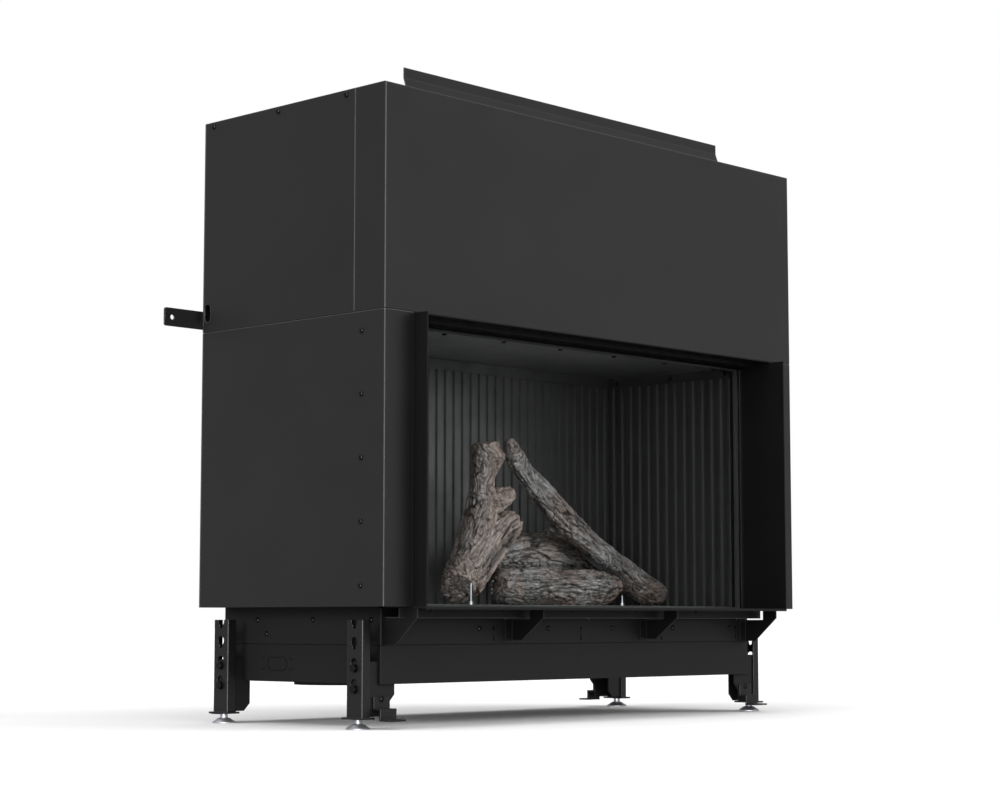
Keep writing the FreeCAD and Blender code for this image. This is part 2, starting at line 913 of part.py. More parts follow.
def glass_gasket():
    outer_half = glass_half - size("profile_width") - seam_gap
    width = size("gasket_width")
    rear = gasket_y + size("gasket_thickness")
    ring = box((-outer_half, gasket_y, glass_z), (outer_half, rear, glass_top_z))
    middle = box((width - outer_half, gasket_y - cut_overrun, glass_z + size("gasket_edge")),
                 (outer_half - width, rear + cut_overrun, glass_top_z - size("gasket_edge")))
    keep(cut(ring, middle), "glass_gasket")


# Firebox

def firebox_front_frame():
    plate = box((-reveal_half, frame_y, casing_z), (reveal_half, firebox_y, step_top_z))
    mouth = box((-liner_half, frame_y - cut_overrun, floor_z),
                (liner_half, firebox_y + cut_overrun, step_top_z - size("frame_head")))
    keep(cut(plate, mouth), "firebox_front_frame")


def firebox_walls():
    outer = wall_half + size("firebox_sheet")
    header_y = firebox_y + size("firebox_sheet")
    walls = [box((-wall_half, wall_y, floor_z), (wall_half, firebox_rear_y, roof_z)),
             box((-wall_half, firebox_y, baffle_top_z), (wall_half, header_y, roof_z))]
    for _, sign in SIDES:
        wall = side_box(sign, wall_half, outer, (firebox_y, floor_z), (firebox_rear_y, roof_z))
        walls.append(cut(wall, screw_holes(wall_screw_places(sign))))
    keep(group(*walls), "firebox_walls")


def firebox_baffle():
    """The ceiling seen through the window: it hides the roof, and the fumes pass behind it."""
    last_y = wall_y - size("baffle_rear_gap")
    plate = box((-wall_half, firebox_y, baffle_z), (wall_half, last_y, baffle_top_z))
    keep(cut(plate, screw_holes(baffle_screw_places())), "firebox_baffle")


def firebox_roof():
    outer = wall_half + size("firebox_sheet")
    plate = box((-outer, firebox_y, roof_z), (outer, firebox_rear_y, roof_top_z))
    below = roof_z - cut_overrun
    above = roof_top_z + cut_overrun
    cuts = [cylinder(size("flue_radius") - size("flue_wall"), (0, flue_y, below), above - below, "z")]
    half = size("flap_opening_width") / 2
    depth_half = size("flap_opening_depth") / 2
    for _, sign in SIDES:
        x = sign * flap_side
        cuts.append(box((x - half, flap_y - depth_half, below), (x + half, flap_y + depth_half, above)))
    keep(cut(plate, *cuts), "firebox_roof")


def ribbed_outline(length):
    """Points of a sheet seen from its end: a flat back, and evenly spaced ribs in front, centred."""
    back = liner_depth.value
    root = size("rib_depth").value
    pitch = size("rib_pitch").value
    top_half = size("rib_top").value / 2
    foot_half = top_half + size("rib_slope").value
    count = int((length - 2 * foot_half) // pitch) + 1
    first = (length - (count - 1) * pitch) / 2
    points = [(0, back), (0, root)]
    for index in range(count):
        middle = first + index * pitch
        points += [(middle - foot_half, root), (middle - top_half, 0)]
        points += [(middle + top_half, 0), (middle + foot_half, root)]
    return points + [(length, root), (length, back), (0, back)]


def ribbed_sheet(length):
    """A ribbed sheet along +X whose ribs face -Y and touch y = 0, standing on z = 0."""
    wire = Part.makePolygon([FreeCAD.Vector(x, y, 0) for x, y in ribbed_outline(length)])
    height = (baffle_z - size("liner_top_band") - floor_z).value
    return Part.Face(wire).extrude(FreeCAD.Vector(0, 0, height))


def liners():
    rear = feature(ribbed_sheet(2 * liner_half.value))
    rear.Placement = FreeCAD.Placement(point(-liner_half, liner_y, floor_z), FreeCAD.Rotation())
    sheets = [rear]
    length = (liner_y - firebox_y).value
    for _, sign in SIDES:
        liner = feature(ribbed_sheet(length))
        turn = FreeCAD.Rotation(FreeCAD.Vector(0, 0, 1), -90 * sign)
        start_y = liner_y if sign > 0 else firebox_y
        liner.Placement = FreeCAD.Placement(point(sign * liner_half, start_y, floor_z), turn)
        sheets.append(liner)
    keep(group(*sheets), "firebox_liners")


# Burner

def burner_pan():
    thick = size("burner_sheet")
    rim = size("burner_flange")
    body = box((-burner_half, burner_y, pan_z), (burner_half, burner_rear_y, flange_z))
    flange = box((-burner_half - rim, burner_y - rim, floor_z),
                 (burner_half + rim, burner_rear_y + rim, flange_z))
    hollow = box((thick - burner_half, burner_y + thick, pan_z + thick),
                 (burner_half - thick, burner_rear_y - thick, flange_z + cut_overrun))
    entry = cylinder(size("gas_entry_radius"), (0, burner_middle_y, pan_z - cut_overrun),
                     thick + 2 * cut_overrun, "z")
    keep(cut(fuse(body, flange), hollow, entry), "burner_pan")


def burner_plate():
    gap = size("hearth_edge_gap")
    plate = box((gap - liner_half, firebox_y + gap, flange_z), (liner_half - gap, liner_y - gap, hearth_z))
    below = flange_z - cut_overrun
    above = hearth_z + cut_overrun
    cuts = []
    half_length = size("port_length") / 2
    half_width_of_port = size("port_width") / 2
    for y in even_row(2, size("port_row_spacing")):
        for x in even_row(9, size("port_pitch")):
            cuts.append(box((x - half_length, burner_middle_y + y - half_width_of_port, below),
                            (x + half_length, burner_middle_y + y + half_width_of_port, above)))
    for x, y in (igniter_place, sensor_place):
        cuts.append(cylinder(size("electrode_radius") + size("electrode_hole_clearance"), (x, y, below),
                             above - below, "z"))
    keep(cut(plate, *cuts), "burner_plate")


def electrode(label, place, height):
    """A rod standing in a short ceramic sleeve on the burner plate."""
    rod = size("electrode_radius")
    sleeve = size("insulator_radius")
    tail = -size("electrode_tail")
    sleeve_top = size("insulator_height")
    outline = [(0, tail), (rod, tail), (rod, 0), (sleeve, 0), (sleeve, sleeve_top), (rod, sleeve_top),
               (rod, height), (0, height)]
    keep(turned(outline, (*place, hearth_z)), label)


def injector():
    foot_z = pan_z - size("injector_length")
    body = cylinder(size("injector_radius"), (0, burner_middle_y, foot_z), size("injector_length"), "z")
    bore = cylinder(size("pipe_radius") - size("pipe_wall"), (0, burner_middle_y, foot_z - cut_overrun),
                    size("injector_length") + 2 * cut_overrun, "z")
    keep(cut(body, bore), "injector")


def burner_pipe():
    """The pipe from the injector down, round one bend and along to the valve."""
    bend = size("pipe_bend")
    foot_z = pan_z - size("injector_length")
    top = point(0, burner_middle_y, foot_z)
    corner = point(0, burner_middle_y, valve_middle_z)
    upper = point(0, burner_middle_y, valve_middle_z + bend)
    lower = point(bend, burner_middle_y, valve_middle_z)
    centre = point(bend, burner_middle_y, valve_middle_z + bend)
    middle = centre + (corner - centre).normalize() * bend.value
    end = point(size("valve_side"), burner_middle_y, valve_middle_z)
    path = Part.Wire([Part.LineSegment(top, upper).toShape(), Part.Arc(upper, middle, lower).toShape(),
                      Part.LineSegment(lower, end).toShape()])
    shapes = []
    for radius in (size("pipe_radius"), size("pipe_radius") - size("pipe_wall")):
        ring = Part.Wire(Part.makeCircle(radius.value, top, FreeCAD.Vector(0, 0, -1)))
        shapes.append(path.makePipeShell([ring], True, False))
    return feature(shapes[0].cut(shapes[1]))


def gas_valve():
    half_depth = size("valve_depth") / 2
    side = size("valve_side")
    block = box((side, burner_middle_y - half_depth, tray_floor_z),
                (side + size("valve_length"), burner_middle_y + half_depth,
                 tray_floor_z + size("valve_height")))
    bore = cylinder(size("spindle_radius") + running_clearance,
                    (valve_middle_x, burner_middle_y - half_depth - cut_overrun, valve_middle_z),
                    size("spindle_depth") + cut_overrun, "y")
    keep(cut(block, bore), "gas_valve")


def valve_knob():
    """A knob with a spindle into the valve and a ridge across its face."""
    face_y = burner_middle_y - size("valve_depth") / 2
    front = face_y - seam_gap - size("knob_depth")
    spindle_end = face_y + size("spindle_depth") - seam_gap
    skirt = cylinder(size("knob_radius"), (valve_middle_x, front, valve_middle_z), size("knob_depth"), "y")
    spindle = cylinder(size("spindle_radius"), (valve_middle_x, front, valve_middle_z),
                       spindle_end - front, "y")
    reach = size("knob_grip")
    half = size("knob_ridge_width") / 2
    ridge = box((valve_middle_x - half, front - size("knob_ridge_height"), valve_middle_z - reach),
                (valve_middle_x + half, front, valve_middle_z + reach))
    keep(fuse(skirt, spindle, ridge), "valve_knob")


def gas_line():
    """The two pipes at the valve, and the threaded fitting through the right side of the tray."""
    start = size("valve_side") + size("valve_length")
    inside = base_half - base_sheet - size("inlet_inside")
    radius = size("supply_radius")
    supply = tube(radius, size("pipe_wall"), (start, burner_middle_y, valve_middle_z), inside - start, "x")
    keep(group(burner_pipe(), supply), "gas_pipes")
    length = base_half + size("inlet_reach") - inside
    body = cylinder(size("inlet_radius"), (inside, burner_middle_y, valve_middle_z), length, "x")
    collar = hexagon(2 * size("inlet_collar_radius"), (base_half, burner_middle_y, valve_middle_z),
                     size("inlet_collar_depth"), "x")
    bore = cylinder(size("inlet_bore_radius"), (inside - cut_overrun, burner_middle_y, valve_middle_z),
                    length + 2 * cut_overrun, "x")
    keep(cut(fuse(body, collar), bore), "gas_inlet")


# Flue and relief flaps

def flue():
    inner_length = top_z + size("flue_rise") - roof_top_z
    inner = tube(size("flue_radius"), size("flue_wall"), (0, flue_y, roof_top_z), inner_length, "z")
    keep(inner, "flue_pipe")
    plenum_top = roof_top_z + size("plenum_height")
    outer_length = top_z + size("flue_rise") - plenum_top
    outer = tube(size("air_radius"), size("flue_wall"), (0, flue_y, plenum_top), outer_length, "z")
    keep(outer, "air_pipe")


def air_plenum():
    half = size("plenum_width") / 2
    depth_half = size("plenum_depth") / 2
    thick = size("firebox_sheet")
    top = roof_top_z + size("plenum_height")
    shell = box((-half, flue_y - depth_half, roof_top_z), (half, flue_y + depth_half, top))
    hollow = box((thick - half, flue_y - depth_half + thick, roof_top_z - cut_overrun),
                 (half - thick, flue_y + depth_half - thick, top - thick))
    mouth = cylinder(size("air_radius") - size("flue_wall"), (0, flue_y, top - thick - cut_overrun),
                     thick + 2 * cut_overrun, "z")
    keep(cut(shell, hollow, mouth), "air_plenum")


def relief_flap(side, sign):
    """A plate over an opening in the roof, with a hinge barrel behind its rear edge."""
    x = sign * flap_side
    half = size("flap_opening_width") / 2 + size("flap_overlap")
    depth_half = size("flap_opening_depth") / 2 + size("flap_overlap")
    low_z = roof_top_z + size("flap_seat_gap")
    top = low_z + size("flap_thickness")
    plate = box((x - half, flap_y - depth_half, low_z), (x + half, flap_y + depth_half, top))
    barrel_half = size("flap_barrel_length") / 2
    barrel = cylinder(size("flap_barrel_radius"), (x - barrel_half, flap_pin_y, flap_pin_z),
                      size("flap_barrel_length"), "x")
    neck = box((x - barrel_half, flap_y + depth_half, roof_top_z + size("flap_neck_rise")),
               (x + barrel_half, flap_pin_y, top))
    bore = cylinder(size("flap_pin_radius") + running_clearance,
                    (x - barrel_half - cut_overrun, flap_pin_y, flap_pin_z),
                    size("flap_barrel_length") + 2 * cut_overrun, "x")
    keep(cut(fuse(plate, neck, barrel), bore), f"relief_flap_{side}")


def flap_hinges():
    """Two lugs on the roof for each flap, and the pin through them."""
    barrel_half = size("flap_barrel_length") / 2
    lug_start = barrel_half + size("lug_gap")
    lug_end = lug_start + size("lug_thickness")
    lugs = []
    pins = []
    for _, sign in SIDES:
        x = sign * flap_side
        bore = cylinder(size("flap_pin_radius") + running_clearance,
                        (x - lug_end - cut_overrun, flap_pin_y, flap_pin_z),
                        2 * (lug_end + cut_overrun), "x")
        for low, high in ((x - lug_end, x - lug_start), (x + lug_start, x + lug_end)):
            block = box((low, flap_pin_y - size("lug_depth") / 2, roof_top_z),
                        (high, flap_pin_y + size("lug_depth") / 2, flap_pin_z + size("lug_top")))
            lugs.append(cut(block, bore))
        reach = lug_end + size("lug_gap")
        rod = cylinder(size("flap_pin_radius"), (x - reach, flap_pin_y, flap_pin_z), 2 * reach, "x")
        head = size("flap_pin_head")
        heads = [cylinder(size("flap_pin_head_radius"), (start, flap_pin_y, flap_pin_z), head, "x")
                 for start in (x - reach - head, x + reach)]
        pins.append(fuse(rod, *heads))
    keep(group(*lugs), "flap_hinge_lugs")
    keep(group(*pins), "flap_hinge_pins")


# Base

def base_frame():
    walls = [box((-base_half, base_y, frame_foot_z), (base_half, base_y + base_sheet, sill_z))]
    for _, sign in SIDES:
        walls.append(side_box(sign, base_half - base_sheet, base_half,
                              (base_y + base_sheet, frame_foot_z), (base_rear_y, sill_z)))
        walls.append(side_box(sign, base_half - base_sheet, base_half,
                              (firebox_y, sill_z), (base_rear_y, casing_z)))
    walls.append(box((-base_half, base_rear_y - base_sheet, frame_foot_z),
                     (base_half, base_rear_y, casing_z)))
    ring = rounded(fuse(*walls), casing_bend,
                   lambda middle: near(abs(middle.x), base_half) and near(middle.y, base_y))
    holes = [screw_holes(base_front_screw_places())]
    holes += [screw_holes(base_side_screw_places(sign)) for _, sign in SIDES]
    keep(cut(ring, *tie_slots(), *holes), "base_frame")


def tie_slots():
    """Dumbbell slots in the front of the base frame: two round ends joined by a slit."""
    z = casing_z - size("tie_slot_drop")
    half = size("tie_slot_height") / 2 - size("tie_slot_radius")
    slit = size("tie_slot_slit") / 2
    depth = base_sheet + 2 * cut_overrun
    cutters = []
    for x in even_span(5, base_half - size("tie_slot_inset")):
        start_y = base_y - cut_overrun
        cutters.append(box((x - slit, start_y, z - half), (x + slit, start_y + depth, z + half)))
        for end in (-1, 1):
            cutters.append(cylinder(size("tie_slot_radius"), (x, start_y, z + end * half), depth, "y"))
    return cutters


def base_tray():
    top = frame_foot_z - size("base_seam")
    block = box((-base_half, base_y, tray_z), (base_half, base_rear_y, top))
    outside = rounded(block, casing_bend,
                      lambda middle: near(abs(middle.x), base_half) and near(middle.y, base_y))
    inner = base_half - base_sheet
    hollow = box((-inner, base_y + base_sheet, tray_floor_z),
                 (inner, base_rear_y - base_sheet, top + cut_overrun))
    pan = cut(outside, hollow)
    lip_inner = inner - base_sheet
    lap = size("tray_lip_overlap")
    lip_block = box((-inner, base_y + base_sheet, top - lap), (inner, base_rear_y - base_sheet, top + lap))
    lip_hollow = box((-lip_inner, base_y + 2 * base_sheet, top - lap - cut_overrun),
                     (lip_inner, base_rear_y - 2 * base_sheet, top + lap + cut_overrun))
    tray = fuse(pan, cut(lip_block, lip_hollow))
    inlet = cylinder(size("inlet_radius") + size("inlet_hole_clearance"),
                     (inner - cut_overrun, burner_middle_y, valve_middle_z),
                     base_sheet + 2 * cut_overrun, "x")
    vent = cylinder(size("collar_radius") - size("collar_wall"),
                    (collar_x, collar_y, tray_z - cut_overrun), base_sheet + 2 * cut_overrun, "z")
    holes = [screw_holes(base_side_screw_places(sign)) for _, sign in SIDES]
    keep(cut(tray, inlet, vent, *knockout(), *holes), "base_tray")


def oblong(half_length, half_height, x, depth, y, z):
    """An oblong with round ends, its flat faces square to X."""
    straight = half_length - half_height
    parts = [box((x, y - straight, z - half_height), (x + depth, y + straight, z + half_height))]
    for end in (-1, 1):
        parts.append(cylinder(half_height, (x, y + end * straight, z), depth, "x"))
    return fuse(*parts)


def knockout():
    """The groove around a knock-out in the tray's left side, and four marks beside it."""
    y = front_y + size("knockout_setback")
    z = tray_z + size("knockout_rise")
    half_length = size("knockout_length") / 2
    half_height = size("knockout_height") / 2
    groove = size("knockout_groove")
    start_x = -base_half - cut_overrun
    depth = cut_overrun + size("knockout_groove_depth")
    outer = oblong(half_length, half_height, start_x, depth, y, z)
    inner = oblong(half_length - groove, half_height - groove, start_x, depth, y, z)
    cutters = [cut(outer, inner)]
    mark_half = size("knockout_mark_length") / 2
    mark_rise = size("knockout_mark_height") / 2
    for side in (-1, 1):
        for level in (-1, 1):
            middle_y = y + side * size("knockout_mark_spread") / 2
            middle_z = z + level * size("knockout_mark_spacing") / 2
            cutters.append(box((start_x, middle_y - mark_half, middle_z - mark_rise),
                               (start_x + depth, middle_y + mark_half, middle_z + mark_rise)))
    return cutters


def base_collar():
    drop = size("collar_drop")
    place = (collar_x, collar_y, tray_z - drop)
    keep(tube(size("collar_radius"), size("collar_wall"), place, drop, "z"), "base_collar")


# Rail and gussets under the sill

def front_rail():
    rail_y = front_y + size("rail_setback")
    foot_z = sill_z - size("rail_height")
    thick = size("rail_sheet")
    face = box((-opening_half, rail_y, foot_z), (opening_half, rail_y + thick, sill_z))
    lip = box((-opening_half, rail_y, foot_z), (opening_half, rail_y + size("rail_depth"), foot_z + thick))
    keep(cut(fuse(face, lip), screw_holes(rail_screw_places())), "front_rail")


def gussets():
    """Triangular plates that carry the sill, each notched for the rail and flanged to the base."""
    outer = opening_half - size("gusset_outer_inset")
    inner = size("gusset_inner_side")
    inner_foot_z = frame_foot_z + size("gusset_inner_rise")
    items = [gusset(-outer, 1, frame_foot_z), gusset(-inner, -1, inner_foot_z),
             gusset(inner, -1, inner_foot_z), gusset(outer, -1, frame_foot_z)]
    keep(group(*items), "sill_gussets")


def gusset(x, flange_sign, foot_z):
    notch_y = front_y + size("rail_setback") - size("gusset_notch_front_gap")
    notch_z = sill_z - size("rail_height") - size("gusset_notch_gap")
    tip_y = front_y - size("gusset_tip")
    outline = [
        (base_y, foot_z),
        (base_y, notch_z),
        (notch_y, notch_z),
        (notch_y, sill_z),
        (tip_y, sill_z),
        (tip_y, sill_z - size("gusset_front_height")),
        (front_y + size("gusset_foot_setback"), foot_z),
    ]
    thick = size("gusset_sheet")
    plate = padded("YZ_Plane", outline, thick, (x - thick / 2, 0, 0))
    first = x + thick / 2 if flange_sign > 0 else x - thick / 2 - size("gusset_flange")
    flange = box((first, base_y - thick, foot_z), (first + size("gusset_flange"), base_y, notch_z))
    return fuse(plate, flange)


# Legs

def keyholes(sign, leg_y):
    """A round hole with a narrow tail below it, repeated down the leg; the first one is open at the top."""
    middle_y = leg_y + size("leg_web") / 2
    start_x, _ = side_ends(sign, leg_half - leg_sheet - cut_overrun, leg_half + cut_overrun)
    depth = leg_sheet + 2 * cut_overrun
    tail = size("keyhole_tail_radius")
    cutters = []
    for index in range(4):
        z = leg_top_z - size("keyhole_first_drop") - index * size("keyhole_pitch")
        cutters.append(cylinder(size("keyhole_radius"), (start_x, middle_y, z), depth, "x"))
        tail_z = z - size("keyhole_drop")
        cutters.append(box((start_x, middle_y - tail, tail_z), (start_x + depth, middle_y + tail, z)))
        cutters.append(cylinder(tail, (start_x, middle_y, tail_z), depth, "x"))
    return cutters


def bolt_heights():
    """Heights of the two bolts of a leg, in the tails of its third and fourth keyholes."""
    first = leg_top_z - size("keyhole_first_drop") - size("keyhole_drop")
    return [first - index * size("keyhole_pitch") for index in (2, 3)]


def leg(sign, leg_y):
    inner = leg_half - size("leg_flange")
    last_y = leg_y + size("leg_web")
    web = side_box(sign, leg_half - leg_sheet, leg_half, (leg_y, leg_foot_z), (last_y, leg_top_z))
    flanges = [side_box(sign, inner, leg_half, (start, leg_foot_z), (start + leg_sheet, leg_top_z))
               for start in (leg_y, last_y - leg_sheet)]
    channel = rounded(fuse(web, *flanges), size("leg_bend"),
                      lambda middle: near(abs(middle.x), leg_half) and (
                          near(middle.y, leg_y) or near(middle.y, last_y)))
    plate_half = size("foot_plate_depth") / 2
    middle_y = leg_y + size("leg_web") / 2
    outer = leg_half + size("foot_plate_outset")
    plate = side_box(sign, outer - size("foot_plate_width"), outer,
                     (middle_y - plate_half, plate_z), (middle_y + plate_half, leg_foot_z))
    stud_hole = cylinder(size("stud_radius") + running_clearance,
                         (sign * foot_x, middle_y, plate_z - cut_overrun),
                         size("foot_plate_sheet") + 2 * cut_overrun, "z")
    return cut(fuse(channel, plate), *keyholes(sign, leg_y), stud_hole)


def bracket_flange(sign, start_y, clip_side):
    """One wide cheek of a leg bracket: it meets the side of the base and reaches under it."""
    outer = leg_half - leg_sheet
    top = casing_z - size("bracket_top_drop")
    foot = leg_foot_z + size("bracket_foot_gap")
    kind = "clip" if clip_side else "plain"
    reach = base_half - size(f"bracket_{kind}_reach")
    chamfer = size(f"bracket_{kind}_chamfer")
    outline = [(outer, foot), (outer, top), (base_half, top), (base_half, tray_z), (reach, tray_z)]
    if clip_side:
        shoulder = tray_z - size("bracket_clip_shoulder")
        outline += [(reach, shoulder), (reach + chamfer, shoulder - chamfer), (reach + chamfer, foot)]
    else:
        outline += [(reach, foot + chamfer), (reach + chamfer, foot)]
    signed = [(sign * x, z) for x, z in outline]
    return padded("XZ_Plane", signed, leg_sheet, (0, start_y + leg_sheet, 0))


def leg_brackets():
    """A channel nested in each leg, with two nuts welded behind its web."""
    items = []
    for _, sign in SIDES:
        for _, direction, leg_y in LEG_ENDS:
            first_y = leg_y + leg_sheet
            last_y = leg_y + size("leg_web") - 2 * leg_sheet
            outer = leg_half - leg_sheet
            web = side_box(sign, outer - leg_sheet, outer,
                           (first_y, casing_z - size("bracket_web_foot")),
                           (last_y + leg_sheet, casing_z - size("bracket_top_drop")))
            cheeks = [bracket_flange(sign, first_y, direction > 0),
                      bracket_flange(sign, last_y, direction < 0)]
            middle_y = leg_y + size("leg_web") / 2
            nut_depth = leg_sheet + size("nut_height")
            nut_x, _ = side_ends(sign, outer - nut_depth, outer - leg_sheet)
            nuts = [hexagon(size("bolt_head_flats"), (nut_x, middle_y, z), size("nut_height"), "x")
                    for z in bolt_heights()]
            start_x, _ = side_ends(sign, outer - nut_depth - cut_overrun, outer + cut_overrun)
            holes = [cylinder(size("bolt_radius") + running_clearance, (start_x, middle_y, z),
                              nut_depth + 2 * cut_overrun, "x") for z in bolt_heights()]
            plate_y = first_y if direction > 0 else last_y + leg_sheet
            holes.append(screw_holes([clip_screw_place(sign, direction, plate_y)]))
            items.append(cut(fuse(web, *cheeks, *nuts), *holes))
    keep(group(*items), "leg_brackets")


def leg_bolts():
    head_height = size("bolt_head_height")
    shank = 2 * leg_sheet + size("nut_height") + size("bolt_tail")
    bolts = []
    for _, sign in SIDES:
        head_x, _ = side_ends(sign, leg_half, leg_half + head_height)
        shank_x, _ = side_ends(sign, leg_half - shank, leg_half)
        for _, _, leg_y in LEG_ENDS:
            middle_y = leg_y + size("leg_web") / 2
            for z in bolt_heights():
                head = hexagon(size("bolt_head_flats"), (head_x, middle_y, z), head_height, "x")
                rod = cylinder(size("bolt_radius"), (shank_x, middle_y, z), shank, "x")
                bolts.append(fuse(head, rod))
    keep(group(*bolts), "leg_bolts")


def levelling_foot(end, side, sign, leg_y):
    """A flared disc with a neck, and the threaded stud that turns in it and in the foot plate."""
    place = (sign * foot_x, leg_y + size("leg_web") / 2, 0)
    neck_top = plate_z - size("foot_plate_clearance")
    socket = size("stud_radius") + running_clearance
    socket_z = neck_top - size("stud_socket_depth")
    cone_top = size("foot_rim") + size("foot_cone_height")
    outline = [
        (0, 0),
        (size("foot_disc_radius"), 0),
        (size("foot_disc_radius"), size("foot_rim")),
        (size("foot_cone_radius"), cone_top),
        (size("foot_neck_radius"), cone_top + size("foot_rim")),
        (size("foot_neck_radius"), neck_top),
        (socket, neck_top),
        (socket, socket_z),
        (0, socket_z),
    ]
    keep(turned(outline, place), f"foot_disc_{end}_{side}")
    stud_z = socket_z + size("foot_plate_clearance")
    stud = cylinder(size("stud_radius"), (*place[:2], stud_z), size("stud_length"), "z")
    keep(stud, f"foot_stud_{end}_{side}")


# Floor clips

def clip_screw_place(sign, direction, plate_y):
    x = sign * (leg_half - size("clip_side_inset") - size("clip_width") / 2)
    z = casing_z - size("clip_plate_drop") - size("screw_head_radius")
    return point(x, plate_y - direction * clip_sheet, z), (0, -direction, 0)


def floor_clips():
    """A stepped bracket on each leg bracket's outer cheek, with a hole for a floor screw."""
    items = []
    places = []
    for _, sign in SIDES:
        for _, direction, leg_y in LEG_ENDS:
            plate_y = leg_y + leg_sheet if direction > 0 else leg_y + size("leg_web") - leg_sheet
            outer = leg_half - size("clip_side_inset")
            inner = outer - size("clip_width")
            plate_top = casing_z - size("clip_plate_drop")
            step_z = plate_top - size("clip_plate_height")
            foot_z = step_z - size("clip_riser")
            reach = size("clip_step")
            foot_reach = reach + size("clip_foot")
            blocks = [
                (0, clip_sheet, step_z, plate_top),
                (0, reach, step_z, step_z + clip_sheet),
                (reach - clip_sheet, reach, foot_z, step_z + clip_sheet),
                (reach - clip_sheet, foot_reach, foot_z, foot_z + clip_sheet),
            ]
            parts = []
            for near_reach, far_reach, low, high in blocks:
                ends = (plate_y - direction * near_reach, plate_y - direction * far_reach)
                first_y, last_y = sorted(ends, key=lambda item: item.value)
                parts.append(side_box(sign, inner, outer, (first_y, low), (last_y, high)))
            hole_y = plate_y - direction * (foot_reach - size("clip_foot") / 2)
            hole = cylinder(size("clip_hole_radius"),
                            (sign * (inner + outer) / 2, hole_y, foot_z - cut_overrun),
                            clip_sheet + 2 * cut_overrun, "z")
            place = clip_screw_place(sign, direction, plate_y)
            places.append(place)
            items.append(cut(fuse(*parts), hole, screw_holes([place])))
    keep(group(*items), "floor_clips")
    return places


# Logs

def log_shape(stops, radius, shares):
    """A log lofted through rings along its stops, each ring with its share of the radius."""
    lengths = [(second - first).Length for first, second in zip(stops, stops[1:])]
    total = sum(lengths)
    rings = []
    for station, share in zip(STATION_SHARES, shares):
        travel = station * total
        index = 0
        while index < len(lengths) - 1 and travel > lengths[index]:
            travel -= lengths[index]
            index += 1
        direction = (stops[index + 1] - stops[index]).normalize()
        centre = stops[index] + direction * travel
        normal = (stops[-1] - stops[0]).normalize()
        rings.append(Part.Wire(Part.makeCircle(radius * share, centre, normal)))
    return Part.makeLoft(rings, True, False)


def below_hearth():
    """A block under the hearth, which cuts the logs flat where they stand."""
    corner = point(-half_width, front_y, tray_z)
    return Part.makeBox(2 * half_width.value, size("casing_depth").value, (hearth_z - tray_z).value, corner)


def front_log_shape(spare):
    half = size("front_log_length") / 2
    radius = size("front_log_radius")
    middle = size("front_log_side")
    y = front_y + size("front_log_setback")
    z = hearth_z + radius * (1 - log_sink_share)
    stops = [point(middle - half, y, z), point(middle + half, y, z)]
    return log_shape(stops, (radius + spare).value, FRONT_LOG_SHARES)


def rear_log_shape(spare):
    half = size("rear_log_length") / 2
    middle = size("rear_log_side")
    y = front_y + size("rear_log_setback")
    z = hearth_z + size("rear_log_rise") + size("rear_log_radius") * (1 - log_sink_share)
    stops = [point(middle - half, y, z), point(middle + half, y, z)]
    return log_shape(stops, (size("rear_log_radius") + spare).value, REAR_LOG_SHARES)


def upright_log_shape(spare):
    radius = size("upright_log_radius")
    foot = point(-size("upright_log_foot_side"), front_y + size("upright_log_foot_setback"),
                 hearth_z - radius * log_tuck_share)
    waist_y = front_y + (size("upright_log_foot_setback") + size("upright_log_top_setback")) / 2
    waist = point(-size("upright_log_waist_side"), waist_y, hearth_z + size("upright_log_waist_height"))
    top = point(-size("upright_log_top_side"), front_y + size("upright_log_top_setback"),
                hearth_z + size("upright_log_height"))
    trunk = log_shape([foot, waist, top], (radius + spare).value, UPRIGHT_LOG_SHARES)
    root = point(-size("branch_root_side"), waist_y, hearth_z + size("branch_root_height"))
    tip = root + point(size("branch_reach"), 0, size("branch_rise"))
    branch = log_shape([root, tip], (size("branch_radius") + spare).value, BRANCH_SHARES)
    stub_tip = waist + point(size("stub_reach"), 0, size("stub_rise"))
    stub = log_shape([waist, stub_tip], (size("stub_radius") + spare).value, BRANCH_SHARES)
    return trunk.fuse([branch, stub]).removeSplitter()


def leaning_log_shape(spare):
    foot = point(liner_half - size("leaning_log_foot_gap"), front_y + size("leaning_log_foot_setback"),
                 hearth_z + size("leaning_log_foot_rise"))
    top = point(-size("leaning_log_top_side"), front_y + size("leaning_log_top_setback"),
                hearth_z + size("leaning_log_height"))
    return log_shape([top, foot], (size("leaning_log_radius") + spare).value, LEANING_LOG_SHARES)


def logs():
    """Each log is cut flat on the hearth and seated on the logs that were laid before it."""
    clearance = size("log_clearance")
    none = 0 * clearance
    laid = []
    for label, maker in (("log_front", front_log_shape), ("log_rear", rear_log_shape),
                         ("log_upright", upright_log_shape), ("log_leaning", leaning_log_shape)):
        shape = maker(none).cut(below_hearth())
        for other in laid:
            shape = shape.cut(other(clearance))
        keep(feature(largest_solid(shape)), label)
        laid.append(maker)


def largest_solid(shape):
    return max(shape.Solids, key=lambda solid: solid.Volume)


def log_rests():
    """Two upright plates on the burner plate, hollowed to carry the rear log."""
    y = front_y + size("rear_log_setback")
    half_depth = size("log_rest_depth") / 2
    top = hearth_z + size("rear_log_rise") + size("log_rest_height")
    seat = feature(rear_log_shape(size("log_clearance")))
    items = []
    for x in even_row(2, size("log_rest_spacing")):
        start = size("rear_log_side") + x - size("log_rest_sheet") / 2
        plate = box((start, y - half_depth, hearth_z),
                    (start + size("log_rest_sheet"), y + half_depth, top))
        items.append(cut(plate, seat))
    keep(group(*items), "log_rests")


